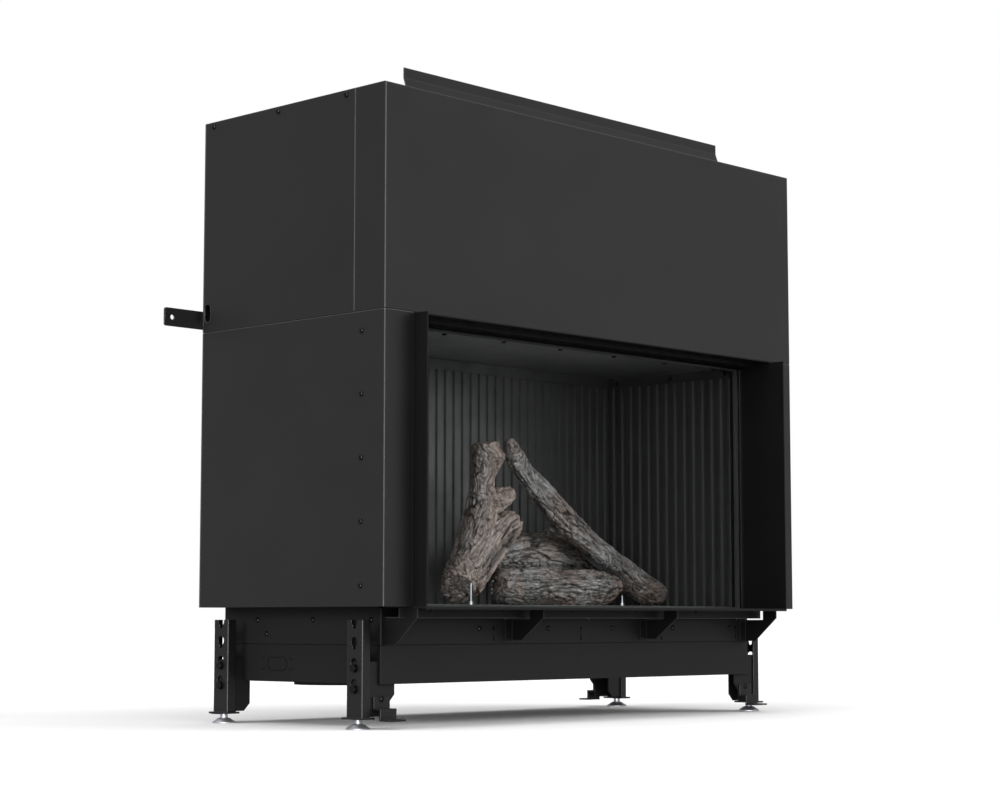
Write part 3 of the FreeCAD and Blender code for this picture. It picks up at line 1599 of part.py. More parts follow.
collar_x = size("collar_side_inset") - base_half
collar_y = front_y + size("collar_setback")
flap_side = half_width - size("flap_side_inset")
flap_y = front_y + size("flap_setback")
flap_pin_y = flap_y + size("flap_opening_depth") / 2 + size("flap_overlap") + size("flap_pin_offset")
flap_pin_z = roof_top_z + size("flap_pin_height")
valve_middle_x = size("valve_side") + size("valve_length") / 2
valve_middle_z = tray_floor_z + size("valve_height") / 2
igniter_place = (-size("igniter_side"), front_y + size("igniter_setback"))
sensor_place = (size("sensor_side"), front_y + size("sensor_setback"))
log_sink_share = 0.04
log_tuck_share = 0.25

upper_front_hood()
top_panel()
rear_panels()
finishing_strip()
casing_floor()
sill()
lintel()
reveal_fins()
keep(group(*[wall_ear(sign) for _, sign in SIDES]), "wall_ears")
glass_pane()
keep(group(*[glass_profile(sign) for _, sign in SIDES]), "glass_profiles")
glass_gasket()
firebox_front_frame()
firebox_walls()
firebox_baffle()
firebox_roof()
liners()
burner_pan()
burner_plate()
electrode("ignition_electrode", igniter_place, size("igniter_height"))
electrode("flame_sensor", sensor_place, size("sensor_height"))
injector()
gas_valve()
valve_knob()
gas_line()
flue()
air_plenum()
flap_hinges()
base_frame()
base_tray()
base_collar()
front_rail()
gussets()
keep(group(*[leg(sign, start_y) for _, sign in SIDES for _, _, start_y in LEG_ENDS]), "legs")
leg_brackets()
leg_bolts()
screw_places = floor_clips() + base_front_screw_places() + rail_screw_places()
screw_places += baffle_screw_places()
logs()
log_rests()
for side_name, side_sign in SIDES:
    upper_side_panel(side_name, side_sign)
    lower_side_panel(side_name, side_sign)
    relief_flap(side_name, side_sign)
    for end_name, _, start_y in LEG_ENDS:
        levelling_foot(end_name, side_name, side_sign, start_y)
    for places in casing_screw_places(side_sign):
        screw_places += places
    for rows in (ear_screw_places, base_side_screw_places, wall_screw_places):
        screw_places += rows(side_sign)
keep(feature(spread(screw_shape(), screw_places)), "pan_head_screws")

doc.recompute()
failed = [item.Label for item in doc.Objects if "Invalid" in item.State or "Error" in item.State]
failed += [item.Label for item in pieces if item.Shape.isNull() or not item.Shape.isValid()]
if failed:
    raise RuntimeError(f"these did not build: {failed}")
os.makedirs("parts", exist_ok=True)
for item in pieces:
    item.Shape.exportStep(f"parts/{item.Label}.step")
print(f"wrote {len(pieces)} sub-parts")
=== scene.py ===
import json
import math

import bmesh
import bpy
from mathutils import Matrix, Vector, noise


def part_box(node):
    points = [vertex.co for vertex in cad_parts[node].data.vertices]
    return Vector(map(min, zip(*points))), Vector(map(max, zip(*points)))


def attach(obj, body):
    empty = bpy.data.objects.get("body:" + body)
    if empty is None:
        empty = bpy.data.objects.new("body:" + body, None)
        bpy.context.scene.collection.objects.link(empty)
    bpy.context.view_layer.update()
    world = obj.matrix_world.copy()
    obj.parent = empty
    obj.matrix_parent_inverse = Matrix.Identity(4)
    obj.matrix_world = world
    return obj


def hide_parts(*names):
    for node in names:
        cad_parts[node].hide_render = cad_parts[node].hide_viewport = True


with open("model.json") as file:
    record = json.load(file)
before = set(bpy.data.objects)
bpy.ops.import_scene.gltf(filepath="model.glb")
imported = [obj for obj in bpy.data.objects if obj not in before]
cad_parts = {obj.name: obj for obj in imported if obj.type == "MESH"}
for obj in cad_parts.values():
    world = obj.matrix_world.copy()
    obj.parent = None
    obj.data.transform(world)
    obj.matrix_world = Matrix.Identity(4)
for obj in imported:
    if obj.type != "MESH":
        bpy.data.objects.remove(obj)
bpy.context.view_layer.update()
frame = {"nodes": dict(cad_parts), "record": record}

# Looks of a built-in gas fireplace, in metres, in the frame of the solid model.

MM = 0.001
scene = bpy.context.scene

casing_low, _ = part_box("lower_side_panel_left")
hearth_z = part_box("burner_plate")[1].z
casing_front = casing_low.y


# Shader building blocks

# Most values of a noise pattern lie in this range.
NOISE = (0.3, 0.7)
WHOLE = (0.0, 1.0)
EVEN_SCALE = (1, 1, 1)
EDGE_SAMPLES = 6
# The painted highlight and shade cover an edge fully where the rounded and the flat normal have this cosine
# between them.
PAINTED_EDGE_COSINE = 0.93


def new_material(name):
    material = bpy.data.materials.new(name)
    material.use_nodes = True
    return material, material.node_tree, material.node_tree.nodes["Principled BSDF"]


def connect(tree, value, socket):
    """Links a socket to an input, or sets the input to a plain value."""
    if isinstance(value, bpy.types.NodeSocket):
        tree.links.new(value, socket)
    else:
        socket.default_value = value


def wire(tree, node, inputs):
    """Links or sets several inputs of a node."""
    for name, value in inputs.items():
        connect(tree, value, node.inputs[name])


def add_node(tree, kind, inputs=None, **settings):
    node = tree.nodes.new(kind)
    for name, value in settings.items():
        setattr(node, name, value)
    wire(tree, node, inputs or {})
    return node


def place(tree, scale=EVEN_SCALE):
    """The object's own coordinates in metres, stretched by a scale."""
    source = add_node(tree, "ShaderNodeTexCoord").outputs["Object"]
    return add_node(tree, "ShaderNodeMapping", {"Vector": source, "Scale": scale}).outputs["Vector"]


def grain_noise(tree, vector, scale, detail=3, roughness=0.55):
    inputs = {"Vector": vector, "Scale": scale, "Detail": detail, "Roughness": roughness}
    return add_node(tree, "ShaderNodeTexNoise", inputs).outputs["Fac"]


def spread(tree, value, source, target):
    """Maps one range of values to another."""
    low, high = source
    out_low, out_high = target
    inputs = {"Value": value, "From Min": low, "From Max": high, "To Min": out_low, "To Max": out_high}
    return add_node(tree, "ShaderNodeMapRange", inputs).outputs["Result"]


def swing(tree, value, middle, reach):
    """Lets a noise pattern vary a number about its middle."""
    return spread(tree, value, NOISE, (middle - reach, middle + reach))


def blend(tree, factor, first, second):
    """Mixes two colours."""
    node = add_node(tree, "ShaderNodeMix", data_type="RGBA")
    factor_input, first_input, second_input = node.inputs[0], node.inputs[6], node.inputs[7]
    connect(tree, factor, factor_input)
    connect(tree, first, first_input)
    connect(tree, second, second_input)
    return node.outputs[2]


def arithmetic(tree, operation, first, second):
    return add_node(tree, "ShaderNodeMath", {0: first, 1: second}, operation=operation).outputs["Value"]


def ramp(tree, value, stops):
    """Colours along a value from 0 to 1: each stop is a place and a colour."""
    node = add_node(tree, "ShaderNodeValToRGB", {"Fac": value})
    elements = node.color_ramp.elements
    elements[0].position, elements[0].color = stops[0]
    elements[1].position, elements[1].color = stops[-1]
    for position, color in stops[1:-1]:
        elements.new(position).color = color
    return node.outputs["Color"]


def fade(tree, value, first, second):
    """Lets a noise pattern vary between two colours."""
    low, high = NOISE
    return ramp(tree, value, [(low, first), (high, second)])


def grey(value):
    return (value, value, value, 1)


def rounded_edges(tree, radius):
    """Normals that turn softly over edges, and a mask that is bright on them."""
    bevel = add_node(tree, "ShaderNodeBevel", {"Radius": radius}, samples=EDGE_SAMPLES).outputs["Normal"]
    flat = add_node(tree, "ShaderNodeNewGeometry").outputs["Normal"]
    cosine = add_node(tree, "ShaderNodeVectorMath", {0: bevel, 1: flat}, operation="DOT_PRODUCT")
    return bevel, spread(tree, cosine.outputs["Value"], (1.0, PAINTED_EDGE_COSINE), WHOLE)


def bump(tree, height, strength, distance, normal=None):
    inputs = {"Height": height, "Strength": strength, "Distance": distance}
    if normal is not None:
        inputs["Normal"] = normal
    return add_node(tree, "ShaderNodeBump", inputs).outputs["Normal"]


# Coated steel

COAT_CLOUD_SCALE = 7
COAT_SPECK_SCALE = 900
COAT_TONE_SWING = 0.06
COAT_ROUGHNESS_SWING = 0.05
FLECK_RANGE = (0.55, 0.75)
FLECK_SHARE = 0.35
FLECK_TONE = 1.6
# Over this range of a normal's rise, an edge goes from facing down to facing ahead.
FACING_DOWN = (-0.35, -0.15)


def powder_coat(name, tone, roughness, shine, edge_radius, edge_tone, low_edge_tone):
    """Matte coat with a fine grain and cloudy variation; its edges are painted in a tone of their own and
    those that face down in another, painted highlight where paler than the coat and painted shade where
    darker.
    """
    material, tree, shader = new_material(name)
    spot = place(tree)
    cloud = grain_noise(tree, spot, COAT_CLOUD_SCALE, detail=4)
    speck = grain_noise(tree, spot, COAT_SPECK_SCALE, detail=2)
    body = fade(tree, cloud, grey(tone * (1 - COAT_TONE_SWING)), grey(tone * (1 + COAT_TONE_SWING)))
    flecks = spread(tree, speck, FLECK_RANGE, (0.0, FLECK_SHARE))
    speckled = blend(tree, flecks, body, grey(tone * FLECK_TONE))
    normal, edge = rounded_edges(tree, edge_radius * MM)
    rise = add_node(tree, "ShaderNodeSeparateXYZ", {"Vector": normal}).outputs["Z"]
    # Painted highlight and painted shade on the edges: one tone for edges that face down, another for the
    # rest.
    edge_highlight_and_shade = blend(tree, spread(tree, rise, FACING_DOWN, WHOLE), low_edge_tone, edge_tone)
    wire(tree, shader, {
        "Base Color": blend(tree, edge, speckled, edge_highlight_and_shade),
        "Roughness": swing(tree, cloud, roughness, COAT_ROUGHNESS_SWING),
        "Specular IOR Level": shine,
        "Normal": bump(tree, speck, strength=0.16, distance=0.25 * MM, normal=normal),
    })
    return material


# Firebox paint: patchy soot, with painted shade that darkens it from the middle towards the right wall, and
# a little in the grooves.
SOOT_SCALE = 9
# Places along the soot pattern, each with its share of the paint's tone.
SOOT_PATCHES = [(0.3, 0.6), (0.62, 1.0), (0.8, 1.25)]
SOOT_SPECK_SCALE = 600
# Where the painted shade starts and where it is darkest, in metres right of the middle.
SHADE_ACROSS = (0.02, 0.42)
SHADE_MOST = 0.85
SHADE_TONE = 0.3
GROOVE_REACH = 12 * MM
GROOVE_SAMPLES = 6
GROOVE_OPENNESS = (0.5, 0.95)
GROOVE_SHADE_TONE = 0.9
SOOT_ROUGHNESS = (0.42, 0.6)
SOOT_SHINE = 0.12


def firebox_steel(name, tone, edge_radius):
    """Dull heat-proof paint, patchy with soot; painted shade darkens it towards the right wall and in the
    grooves.
    """
    material, tree, shader = new_material(name)
    spot = place(tree)
    soot = grain_noise(tree, spot, SOOT_SCALE, detail=6, roughness=0.65)
    speck = grain_noise(tree, spot, SOOT_SPECK_SCALE, detail=2)
    patchy = ramp(tree, soot, [(stop, grey(tone * share)) for stop, share in SOOT_PATCHES])
    # Painted shade: the paint darkens from the middle towards the right wall.
    across = add_node(tree, "ShaderNodeSeparateXYZ", {"Vector": spot}).outputs["X"]
    paint = blend(tree, spread(tree, across, SHADE_ACROSS, (0.0, SHADE_MOST)), patchy, grey(tone * SHADE_TONE))
    # Painted shade in the grooves, where the surface is hemmed in.
    inputs = {"Distance": GROOVE_REACH}
    openness = add_node(tree, "ShaderNodeAmbientOcclusion", inputs, samples=GROOVE_SAMPLES).outputs["AO"]
    groove_shade_factor = spread(tree, openness, GROOVE_OPENNESS, (GROOVE_SHADE_TONE, 1.0))
    normal, _ = rounded_edges(tree, edge_radius * MM)
    wire(tree, shader, {
        "Base Color": blend(tree, groove_shade_factor, grey(0.0), paint),
        "Roughness": spread(tree, soot, NOISE, SOOT_ROUGHNESS),
        "Specular IOR Level": SOOT_SHINE,
        "Normal": bump(tree, speck, strength=0.12, distance=0.2 * MM, normal=normal),
    })
    return material


# Bare metals

MARK_SCALE = 420
DULL_SCALE = 35
DULL_RANGE = (0.35, 0.7)
DULL_TONE = 0.72
METAL_SMOOTHER = 0.08
METAL_ROUGHER = 0.1
METAL_EDGE = 0.7 * MM
CRYSTAL_SCALE = 110
ZINC_DARK = (0.3, 0.31, 0.33, 1)
ZINC_LIGHT = (0.56, 0.57, 0.6, 1)
ZINC_ROUGHNESS = (0.32, 0.5)


def plated_metal(name, color, roughness, mark_scale):
    """Bare or plated metal with fine drawn marks and cloudy dulling."""
    material, tree, shader = new_material(name)
    marks = grain_noise(tree, place(tree, mark_scale), MARK_SCALE, detail=3)
    cloud = grain_noise(tree, place(tree), DULL_SCALE, detail=4)
    dull = tuple(channel * DULL_TONE for channel in color[:3]) + (1,)
    normal, _ = rounded_edges(tree, METAL_EDGE)
    wire(tree, shader, {
        "Base Color": blend(tree, spread(tree, cloud, DULL_RANGE, WHOLE), color, dull),
        "Roughness": spread(tree, marks, NOISE, (roughness - METAL_SMOOTHER, roughness + METAL_ROUGHER)),
        "Metallic": 1.0,
        "Normal": bump(tree, marks, strength=0.08, distance=0.1 * MM, normal=normal),
    })
    return material


def galvanised_steel():
    """Zinc coat with crystal patches."""
    material, tree, shader = new_material("galvanised_steel")
    crystal = add_node(tree, "ShaderNodeTexVoronoi", {"Vector": place(tree), "Scale": CRYSTAL_SCALE})
    patch = add_node(tree, "ShaderNodeRGBToBW", {"Color": crystal.outputs["Color"]}).outputs["Val"]
    wire(tree, shader, {
        "Base Color": ramp(tree, patch, [(0.0, ZINC_DARK), (1.0, ZINC_LIGHT)]),
        "Roughness": spread(tree, patch, WHOLE, ZINC_ROUGHNESS),
        "Metallic": 1.0,
    })
    return material


# Glass, tape, plastic and floor

SMEAR_SCALE = 14
SMEAR_STRETCH = (1, 1, 0.3)
CLEAN_TINT = (0.95, 0.955, 0.955, 1)
SMEARED_TINT = (0.92, 0.93, 0.93, 1)
GLASS_ROUGHNESS = (0.03, 0.09)
GLASS_IOR = 1.28
GLASS_SHINE = 0.2
SHINE_TONE = grey(0.9)
WEAVE_SCALE = 260
WEAVE_DISTORTION = 1.5
WEAVE_STOPS = [(0.2, grey(0.02)), (0.8, grey(0.06))]
TAPE_ROUGHNESS = 0.9
PLASTIC_SCALE = 500
PLASTIC_DARK = grey(0.012)
PLASTIC_LIGHT = grey(0.02)
PLASTIC_ROUGHNESS = 0.5
FLOOR_SCALE = 3
FLOOR_DARK = grey(0.9)
FLOOR_LIGHT = grey(0.93)
FLOOR_ROUGHNESS = 0.9


def clear_glass():
    """Thin coated ceramic pane: see-through, a little smoky, with a weak shine and faint smears in it."""
    material, tree, shader = new_material("ceramic_glass")
    tree.nodes.remove(shader)
    output = tree.nodes["Material Output"]
    smear = grain_noise(tree, place(tree, SMEAR_STRETCH), SMEAR_SCALE, detail=4)
    tint = fade(tree, smear, CLEAN_TINT, SMEARED_TINT)
    clear = add_node(tree, "ShaderNodeBsdfTransparent", {"Color": tint})
    shine_roughness = spread(tree, smear, NOISE, GLASS_ROUGHNESS)
    shine = add_node(tree, "ShaderNodeBsdfGlossy", {"Color": SHINE_TONE, "Roughness": shine_roughness})
    edge_on = add_node(tree, "ShaderNodeFresnel", {"IOR": GLASS_IOR}).outputs["Fac"]
    behind = add_node(tree, "ShaderNodeNewGeometry").outputs["Backfacing"]
    front_only = arithmetic(tree, "MULTIPLY", edge_on, spread(tree, behind, WHOLE, (GLASS_SHINE, 0.0)))
    mixed = add_node(tree, "ShaderNodeMixShader", {"Fac": front_only})
    tree.links.new(clear.outputs["BSDF"], mixed.inputs[1])
    tree.links.new(shine.outputs["BSDF"], mixed.inputs[2])
    tree.links.new(mixed.outputs["Shader"], output.inputs["Surface"])
    return material


def fibre_tape():
    """Woven sealing tape."""
    material, tree, shader = new_material("fibre_gasket")
    inputs = {"Vector": place(tree), "Scale": WEAVE_SCALE, "Distortion": WEAVE_DISTORTION}
    weave = add_node(tree, "ShaderNodeTexWave", inputs, bands_direction="DIAGONAL").outputs["Fac"]
    wire(tree, shader, {
        "Base Color": ramp(tree, weave, WEAVE_STOPS),
        "Roughness": TAPE_ROUGHNESS,
        "Normal": bump(tree, weave, strength=0.5, distance=0.4 * MM),
    })
    return material


def moulded_plastic():
    """Black plastic with a fine moulded grain."""
    material, tree, shader = new_material("black_plastic")
    speck = grain_noise(tree, place(tree), PLASTIC_SCALE, detail=2)
    wire(tree, shader, {
        "Base Color": fade(tree, speck, PLASTIC_DARK, PLASTIC_LIGHT),
        "Roughness": PLASTIC_ROUGHNESS,
        "Normal": bump(tree, speck, strength=0.2, distance=0.2 * MM),
    })
    return material


def pale_floor():
    """Matte, nearly white floor."""
    material, tree, shader = new_material("pale_floor")
    cloud = grain_noise(tree, place(tree), FLOOR_SCALE, detail=3)
    wire(tree, shader, {
        "Base Color": fade(tree, cloud, FLOOR_DARK, FLOOR_LIGHT),
        "Roughness": FLOOR_ROUGHNESS,
        "Specular IOR Level": 0.0,
    })
    return material


# Log paint: places along the relief and their colours, once in cool grey and once in brown; the black low
# end is partly soot and partly painted shade in the clefts, the pale high end partly worn paint and partly
# painted highlight on the ridges.
CLEFT_SOOT_AND_SHADE = grey(0.01)
COOL_BARK = [(0.2, CLEFT_SOOT_AND_SHADE), (0.42, (0.085, 0.081, 0.079, 1)), (0.62, (0.19, 0.183, 0.18, 1)),
             (0.92, (0.5, 0.485, 0.475, 1))]
WARM_BARK = [(0.2, CLEFT_SOOT_AND_SHADE), (0.42, (0.1, 0.072, 0.06, 1)), (0.62, (0.21, 0.16, 0.137, 1)),
             (0.92, (0.47, 0.39, 0.35, 1))]
FIBRE_SCALE = 270
FIBRE_SWING = 0.2
PORE_SCALE = 420
PORE_SWING = 0.1
PATCH_SCALE = 16
PATCH_SOFTNESS = 0.1
BARK_ROUGHNESS = (0.16, 0.42)
BARK_SHINE = 0.8


def log_ceramic(name, cool_share):
    """Cast ceramic painted as driftwood: black in the clefts, partly soot and partly painted shade; grey or
    brown flanks; pale ridges, partly wear and partly painted highlight.
    """
    material, tree, shader = new_material(name)
    depth = add_node(tree, "ShaderNodeAttribute", attribute_name="relief").outputs["Fac"]
    along = add_node(tree, "ShaderNodeAttribute", attribute_name="grain").outputs["Vector"]
    fibres = grain_noise(tree, along, FIBRE_SCALE, detail=6, roughness=0.75)
    pores = grain_noise(tree, place(tree), PORE_SCALE, detail=3, roughness=0.6)
    patches = grain_noise(tree, place(tree), PATCH_SCALE, detail=4)
    streaked = arithmetic(tree, "ADD", depth, swing(tree, fibres, 0.0, FIBRE_SWING))
    height = arithmetic(tree, "ADD", streaked, swing(tree, pores, 0.0, PORE_SWING))
    patch_range = (cool_share - PATCH_SOFTNESS, cool_share + PATCH_SOFTNESS)
    warmth = spread(tree, patches, patch_range, WHOLE)
    grooved = bump(tree, fibres, strength=0.9, distance=1.6 * MM)
    wire(tree, shader, {
        "Base Color": blend(tree, warmth, ramp(tree, height, COOL_BARK), ramp(tree, height, WARM_BARK)),
        "Roughness": spread(tree, fibres, NOISE, BARK_ROUGHNESS),
        "Specular IOR Level": BARK_SHINE,
        "Normal": bump(tree, pores, strength=0.6, distance=0.9 * MM, normal=grooved),
    })
    return material


# Materials and the parts that wear them

# Edge tones: the paler, a little bluish ones are painted highlight on edges, the black one painted shade.
PALE_EDGE = (0.12, 0.126, 0.14, 1)
GREY_EDGE = (0.07, 0.074, 0.083, 1)
DIM_EDGE = (0.035, 0.037, 0.04, 1)
FAINT_EDGE = (0.016, 0.017, 0.019, 1)
DARK_EDGE = grey(0.002)

# Each coat: tone, roughness, shine, edge radius in millimetres,
# tone of its edges, tone of those that face down; an edge tone paler than the coat is painted highlight, a
# darker one painted shade.
COATS = {
    "black_powder_coat": (0.015, 0.4, 0.34, 1.8, PALE_EDGE, DARK_EDGE),
    "base_coat": (0.0155, 0.56, 0.12, 0.7, DIM_EDGE, DARK_EDGE),
    "tray_coat": (0.0145, 0.56, 0.12, 0.7, DARK_EDGE, DARK_EDGE),
    # The shaded, edged, sill and rail coats are darker copies of the casing's coat: painted shade on the
    # lintel, reveal fins, sill gussets, sill and front rail.
    "shaded_coat": (0.0075, 0.6, 0.1, 0.8, DIM_EDGE, DIM_EDGE),
    "edged_coat": (0.01, 0.5, 0.15, 1.0, GREY_EDGE, GREY_EDGE),
    "sill_coat": (0.01, 0.5, 0.12, 0.3, DIM_EDGE, DIM_EDGE),
    "rail_coat": (0.0115, 0.5, 0.15, 2.0, GREY_EDGE, PALE_EDGE),
    "leg_coat": (0.009, 0.36, 0.4, 2.4, FAINT_EDGE, DARK_EDGE),
    "profile_coat": (0.017, 0.4, 0.3, 0.6, GREY_EDGE, GREY_EDGE),
    "black_screw": (0.003, 0.3, 0.25, 0.5, DARK_EDGE, DARK_EDGE),
}

# Each firebox paint: tone, edge radius in millimetres.
FIREBOX_PAINTS = {
    "firebox_steel": (0.175, 3.0),
    "sooty_steel": (0.012, 0.8),
    # The ceiling's paint is paler than the walls': painted light, standing in for light from below.
    "painted_light_ceiling_steel": (0.29, 0.8),
}

# Each bare metal: colour, roughness, stretch of its drawn marks.
METALS = {
    "bright_zinc": ((0.62, 0.63, 0.66, 1), 0.5, EVEN_SCALE),
    "brass_fitting": ((0.72, 0.52, 0.24, 1), 0.3, EVEN_SCALE),
    "copper_pipe": ((0.76, 0.4, 0.26, 1), 0.28, (0.1, 1, 1)),
}

# Each log paint: where its patches turn from cool grey to brown.
LOG_PAINTS = {
    "ceramic_log": 0.52,
    "brown_log": 0.34,
}

MATERIALS = {
    "galvanised_steel": galvanised_steel(),
    "ceramic_glass": clear_glass(),
    "fibre_gasket": fibre_tape(),
    "black_plastic": moulded_plastic(),
}
MATERIALS.update({name: powder_coat(name, *values) for name, values in COATS.items()})
MATERIALS.update({name: firebox_steel(name, *values) for name, values in FIREBOX_PAINTS.items()})
MATERIALS.update({name: plated_metal(name, *values) for name, values in METALS.items()})
MATERIALS.update({name: log_ceramic(name, cool_share) for name, cool_share in LOG_PAINTS.items()})

# Parts that don't take the plain material of their slot.
COAT_OF_NODE = {
    "legs": "leg_coat",
    "floor_clips": "leg_coat",
    "base_frame": "base_coat",
    "base_collar": "base_coat",
    "leg_brackets": "base_coat",
    "base_tray": "tray_coat",
    "lintel": "shaded_coat",
    "reveal_fins": "shaded_coat",
    "front_rail": "rail_coat",
    "sill_gussets": "edged_coat",
    "sill": "sill_coat",
    "glass_profiles": "profile_coat",
    "firebox_front_frame": "sooty_steel",
    "firebox_baffle": "painted_light_ceiling_steel",
    "log_upright": "brown_log",
}


def dress(piece, material_name):
    piece.data.materials.clear()
    piece.data.materials.append(MATERIALS[material_name])


for entry in frame["record"]["subparts"]:
    dress(frame["nodes"][entry["node"]], COAT_OF_NODE.get(entry["node"], entry["material_slot"]))


# Mesh building blocks

MERGE_DISTANCE = 0.01 * MM


def skin_rings(mesh, rings):
    """Closed skin through rings of points, with a flat cap at each end."""
    rows = [[mesh.verts.new(spot) for spot in ring] for ring in rings]
    for lower, upper in zip(rows, rows[1:]):
        for index in range(len(lower)):
            following = (index + 1) % len(lower)
            mesh.faces.new((lower[index], lower[following], upper[following], upper[index]))
    mesh.faces.new(list(reversed(rows[0])))
    mesh.faces.new(rows[-1])


def placed_ring(seat, turn, radii, heights):
    """Points around an axis that starts at a seat."""
    ring = []
    for index, (radius, height) in enumerate(zip(radii, heights)):
        angle = 2 * math.pi * index / len(radii)
        spot = Vector((radius * math.cos(angle), radius * math.sin(angle), height))
        ring.append(seat + turn @ spot)
    return ring


def finish_piece(mesh, name, body, node, material_name):
    """Turns a mesh into a piece that rides a body and stands for a node."""
    data = bpy.data.meshes.new(name)
    mesh.to_mesh(data)
    mesh.free()
    piece = bpy.data.objects.new(name, data)
    scene.collection.objects.link(piece)
    dress(piece, material_name)
    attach(piece, body)
    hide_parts(node)
    return piece


def loose_solids(node):
    """The points of each separate solid in a node."""
    mesh = bmesh.new()
    mesh.from_mesh(frame["nodes"][node].data)
    bmesh.ops.remove_doubles(mesh, verts=mesh.verts, dist=MERGE_DISTANCE)
    solids = []
    for first in mesh.verts:
        if first.tag:
            continue
        first.tag = True
        points = []
        waiting = [first]
        while waiting:
            vertex = waiting.pop()
            points.append(vertex.co.copy())
            for edge in vertex.link_edges:
                other = edge.other_vert(vertex)
                if not other.tag:
                    other.tag = True
                    waiting.append(other)
        solids.append(points)
    mesh.free()
    return solids


# Fasteners, in millimetres

HEAD_SIDES = 24
# Points this near to a fastener's largest squared radius belong to its head.
HEAD_SHARE = 0.9
# Radius and height of the rings up a pan head.
SCREW_PROFILE = [(4.6, 0.0), (4.6, 1.0), (4.3, 1.8), (3.5, 2.5), (2.6, 2.9)]
SCREW_SHANK = 2.0
RECESS_LOBES = 6
RECESS_WIDE = 1.75
RECESS_NARROW = 1.25
RECESS_DEPTH = 1.3
BOLT_SHANK = 4.0
BOLT_FLAT = 6.5
BOLT_HEIGHT = 5.3
BOLT_TOP_RADIUS = 6.0
BOLT_COLLAR_RADIUS = 6.2
BOLT_COLLAR_HEIGHT = 0.4
BOLT_CORNER_SLOPE = math.tan(math.radians(30))


def fastener_places(node):
    """For each fastener in a node: the middle of its seat, the way its head points, its tail's length."""
    places = []
    for points in loose_solids(node):
        low = Vector([min(spot[axis] for spot in points) for axis in range(3)])
        high = Vector([max(spot[axis] for spot in points) for axis in range(3)])
        middle = (low + high) / 2
        extent = high - low
        # The side of the box that is least like the middle one runs along the fastener.
        axis = max(range(3), key=lambda index: abs(extent[index] - sorted(extent)[1]))
        offsets = [spot - middle for spot in points]
        reaches = [(offset.length_squared - offset[axis] ** 2, offset[axis]) for offset in offsets]
        widest, _ = max(reaches)
        head = [along for reach, along in reaches if reach > HEAD_SHARE * widest]
        sign = 1 if sum(head) > 0 else -1
        seat = min(along * sign for along in head)
        outward = Vector([sign if index == axis else 0 for index in range(3)])
        places.append((middle + outward * seat, outward, seat + extent[axis] / 2))
    return places


def even(value):
    """The same value on every side of a head."""
    return [value] * HEAD_SIDES


def skin_fastener(mesh, seat, outward, rows):
    """Skins rows of radii and heights in millimetres around a fastener's axis."""
    turn = outward.to_track_quat("Z", "Y")
    rings = []
    for radii, heights in rows:
        metre_radii = [radius * MM for radius in radii]
        metre_heights = [height * MM for height in heights]
        rings.append(placed_ring(seat, turn, metre_radii, metre_heights))
    skin_rings(mesh, rings)


def add_screw(mesh, seat, outward, tail):
    """Pan head with a six-lobed recess."""
    lobe_sides = HEAD_SIDES // RECESS_LOBES
    lobes = []
    for index in range(HEAD_SIDES):
        lobes.append(RECESS_WIDE if index % lobe_sides < lobe_sides / 2 else RECESS_NARROW)
    top = SCREW_PROFILE[-1][1]
    rows = [(even(SCREW_SHANK), even(-tail / MM)), (even(SCREW_SHANK), even(0))]
    rows += [(even(radius), even(height)) for radius, height in SCREW_PROFILE]
    rows += [(lobes, even(top)), (lobes, even(top - RECESS_DEPTH))]
    skin_fastener(mesh, seat, outward, rows)


def add_bolt(mesh, seat, outward, tail):
    """Hexagon head on a low round collar, its corners turned off at the top."""
    sector = math.pi / 3
    hexagon = []
    for index in range(HEAD_SIDES):
        angle = 2 * math.pi * index / HEAD_SIDES
        hexagon.append(BOLT_FLAT / math.cos(angle % sector - sector / 2))
    shoulder = [BOLT_HEIGHT - (radius - BOLT_TOP_RADIUS) * BOLT_CORNER_SLOPE for radius in hexagon]
    rows = [
        (even(BOLT_SHANK), even(-tail / MM)),
        (even(BOLT_SHANK), even(0)),
        (even(BOLT_COLLAR_RADIUS), even(0)),
        (even(BOLT_COLLAR_RADIUS), even(BOLT_COLLAR_HEIGHT)),
        (hexagon, even(BOLT_COLLAR_HEIGHT)),
        (hexagon, shoulder),
        (even(BOLT_TOP_RADIUS), even(BOLT_HEIGHT)),
    ]
    skin_fastener(mesh, seat, outward, rows)


def add_fasteners(node, maker):
    mesh = bmesh.new()
    for seat, outward, tail in fastener_places(node):
        maker(mesh, seat, outward, tail)
    finish_piece(mesh, node + "_detailed", "fireplace", node, "black_screw")


add_fasteners("pan_head_screws", add_screw)
add_fasteners("leg_bolts", add_bolt)


# Levelling feet

THREAD_PITCH = 1.5 * MM
THREAD_DEPTH = 0.55 * MM
THREAD_STEPS = 6
THREAD_SIDES = 32


def add_thread(node):
    """A levelling foot's stud with its thread cut as a helix."""
    low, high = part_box(node)
    radius = (high.x - low.x) / 2
    middle = Vector(((low.x + high.x) / 2, (low.y + high.y) / 2, 0))
    count = round((high.z - low.z) / THREAD_PITCH * THREAD_STEPS)
    rings = []
    for row in range(count + 1):
        height = low.z + (high.z - low.z) * row / count
        ring = []
        for index in range(THREAD_SIDES):
            share = index / THREAD_SIDES
            phase = ((height - low.z) / THREAD_PITCH + share) % 1
            reach = radius - THREAD_DEPTH * abs(2 * phase - 1)
            angle = -2 * math.pi * share
            ring.append(middle + Vector((reach * math.cos(angle), reach * math.sin(angle), height)))
        rings.append(list(reversed(ring)))
    mesh = bmesh.new()
    skin_rings(mesh, rings)
    finish_piece(mesh, node + "_threaded", node, node, "bright_zinc")


for end in ("front", "rear"):
    for side in ("left", "right"):
        add_thread(f"foot_stud_{end}_{side}")


# Logs

RING_STEP = 6 * MM
FEWEST_STEPS = 2
RING_SIDES = 28
VOXEL = 1.6 * MM
EASE_ROUNDS = 1

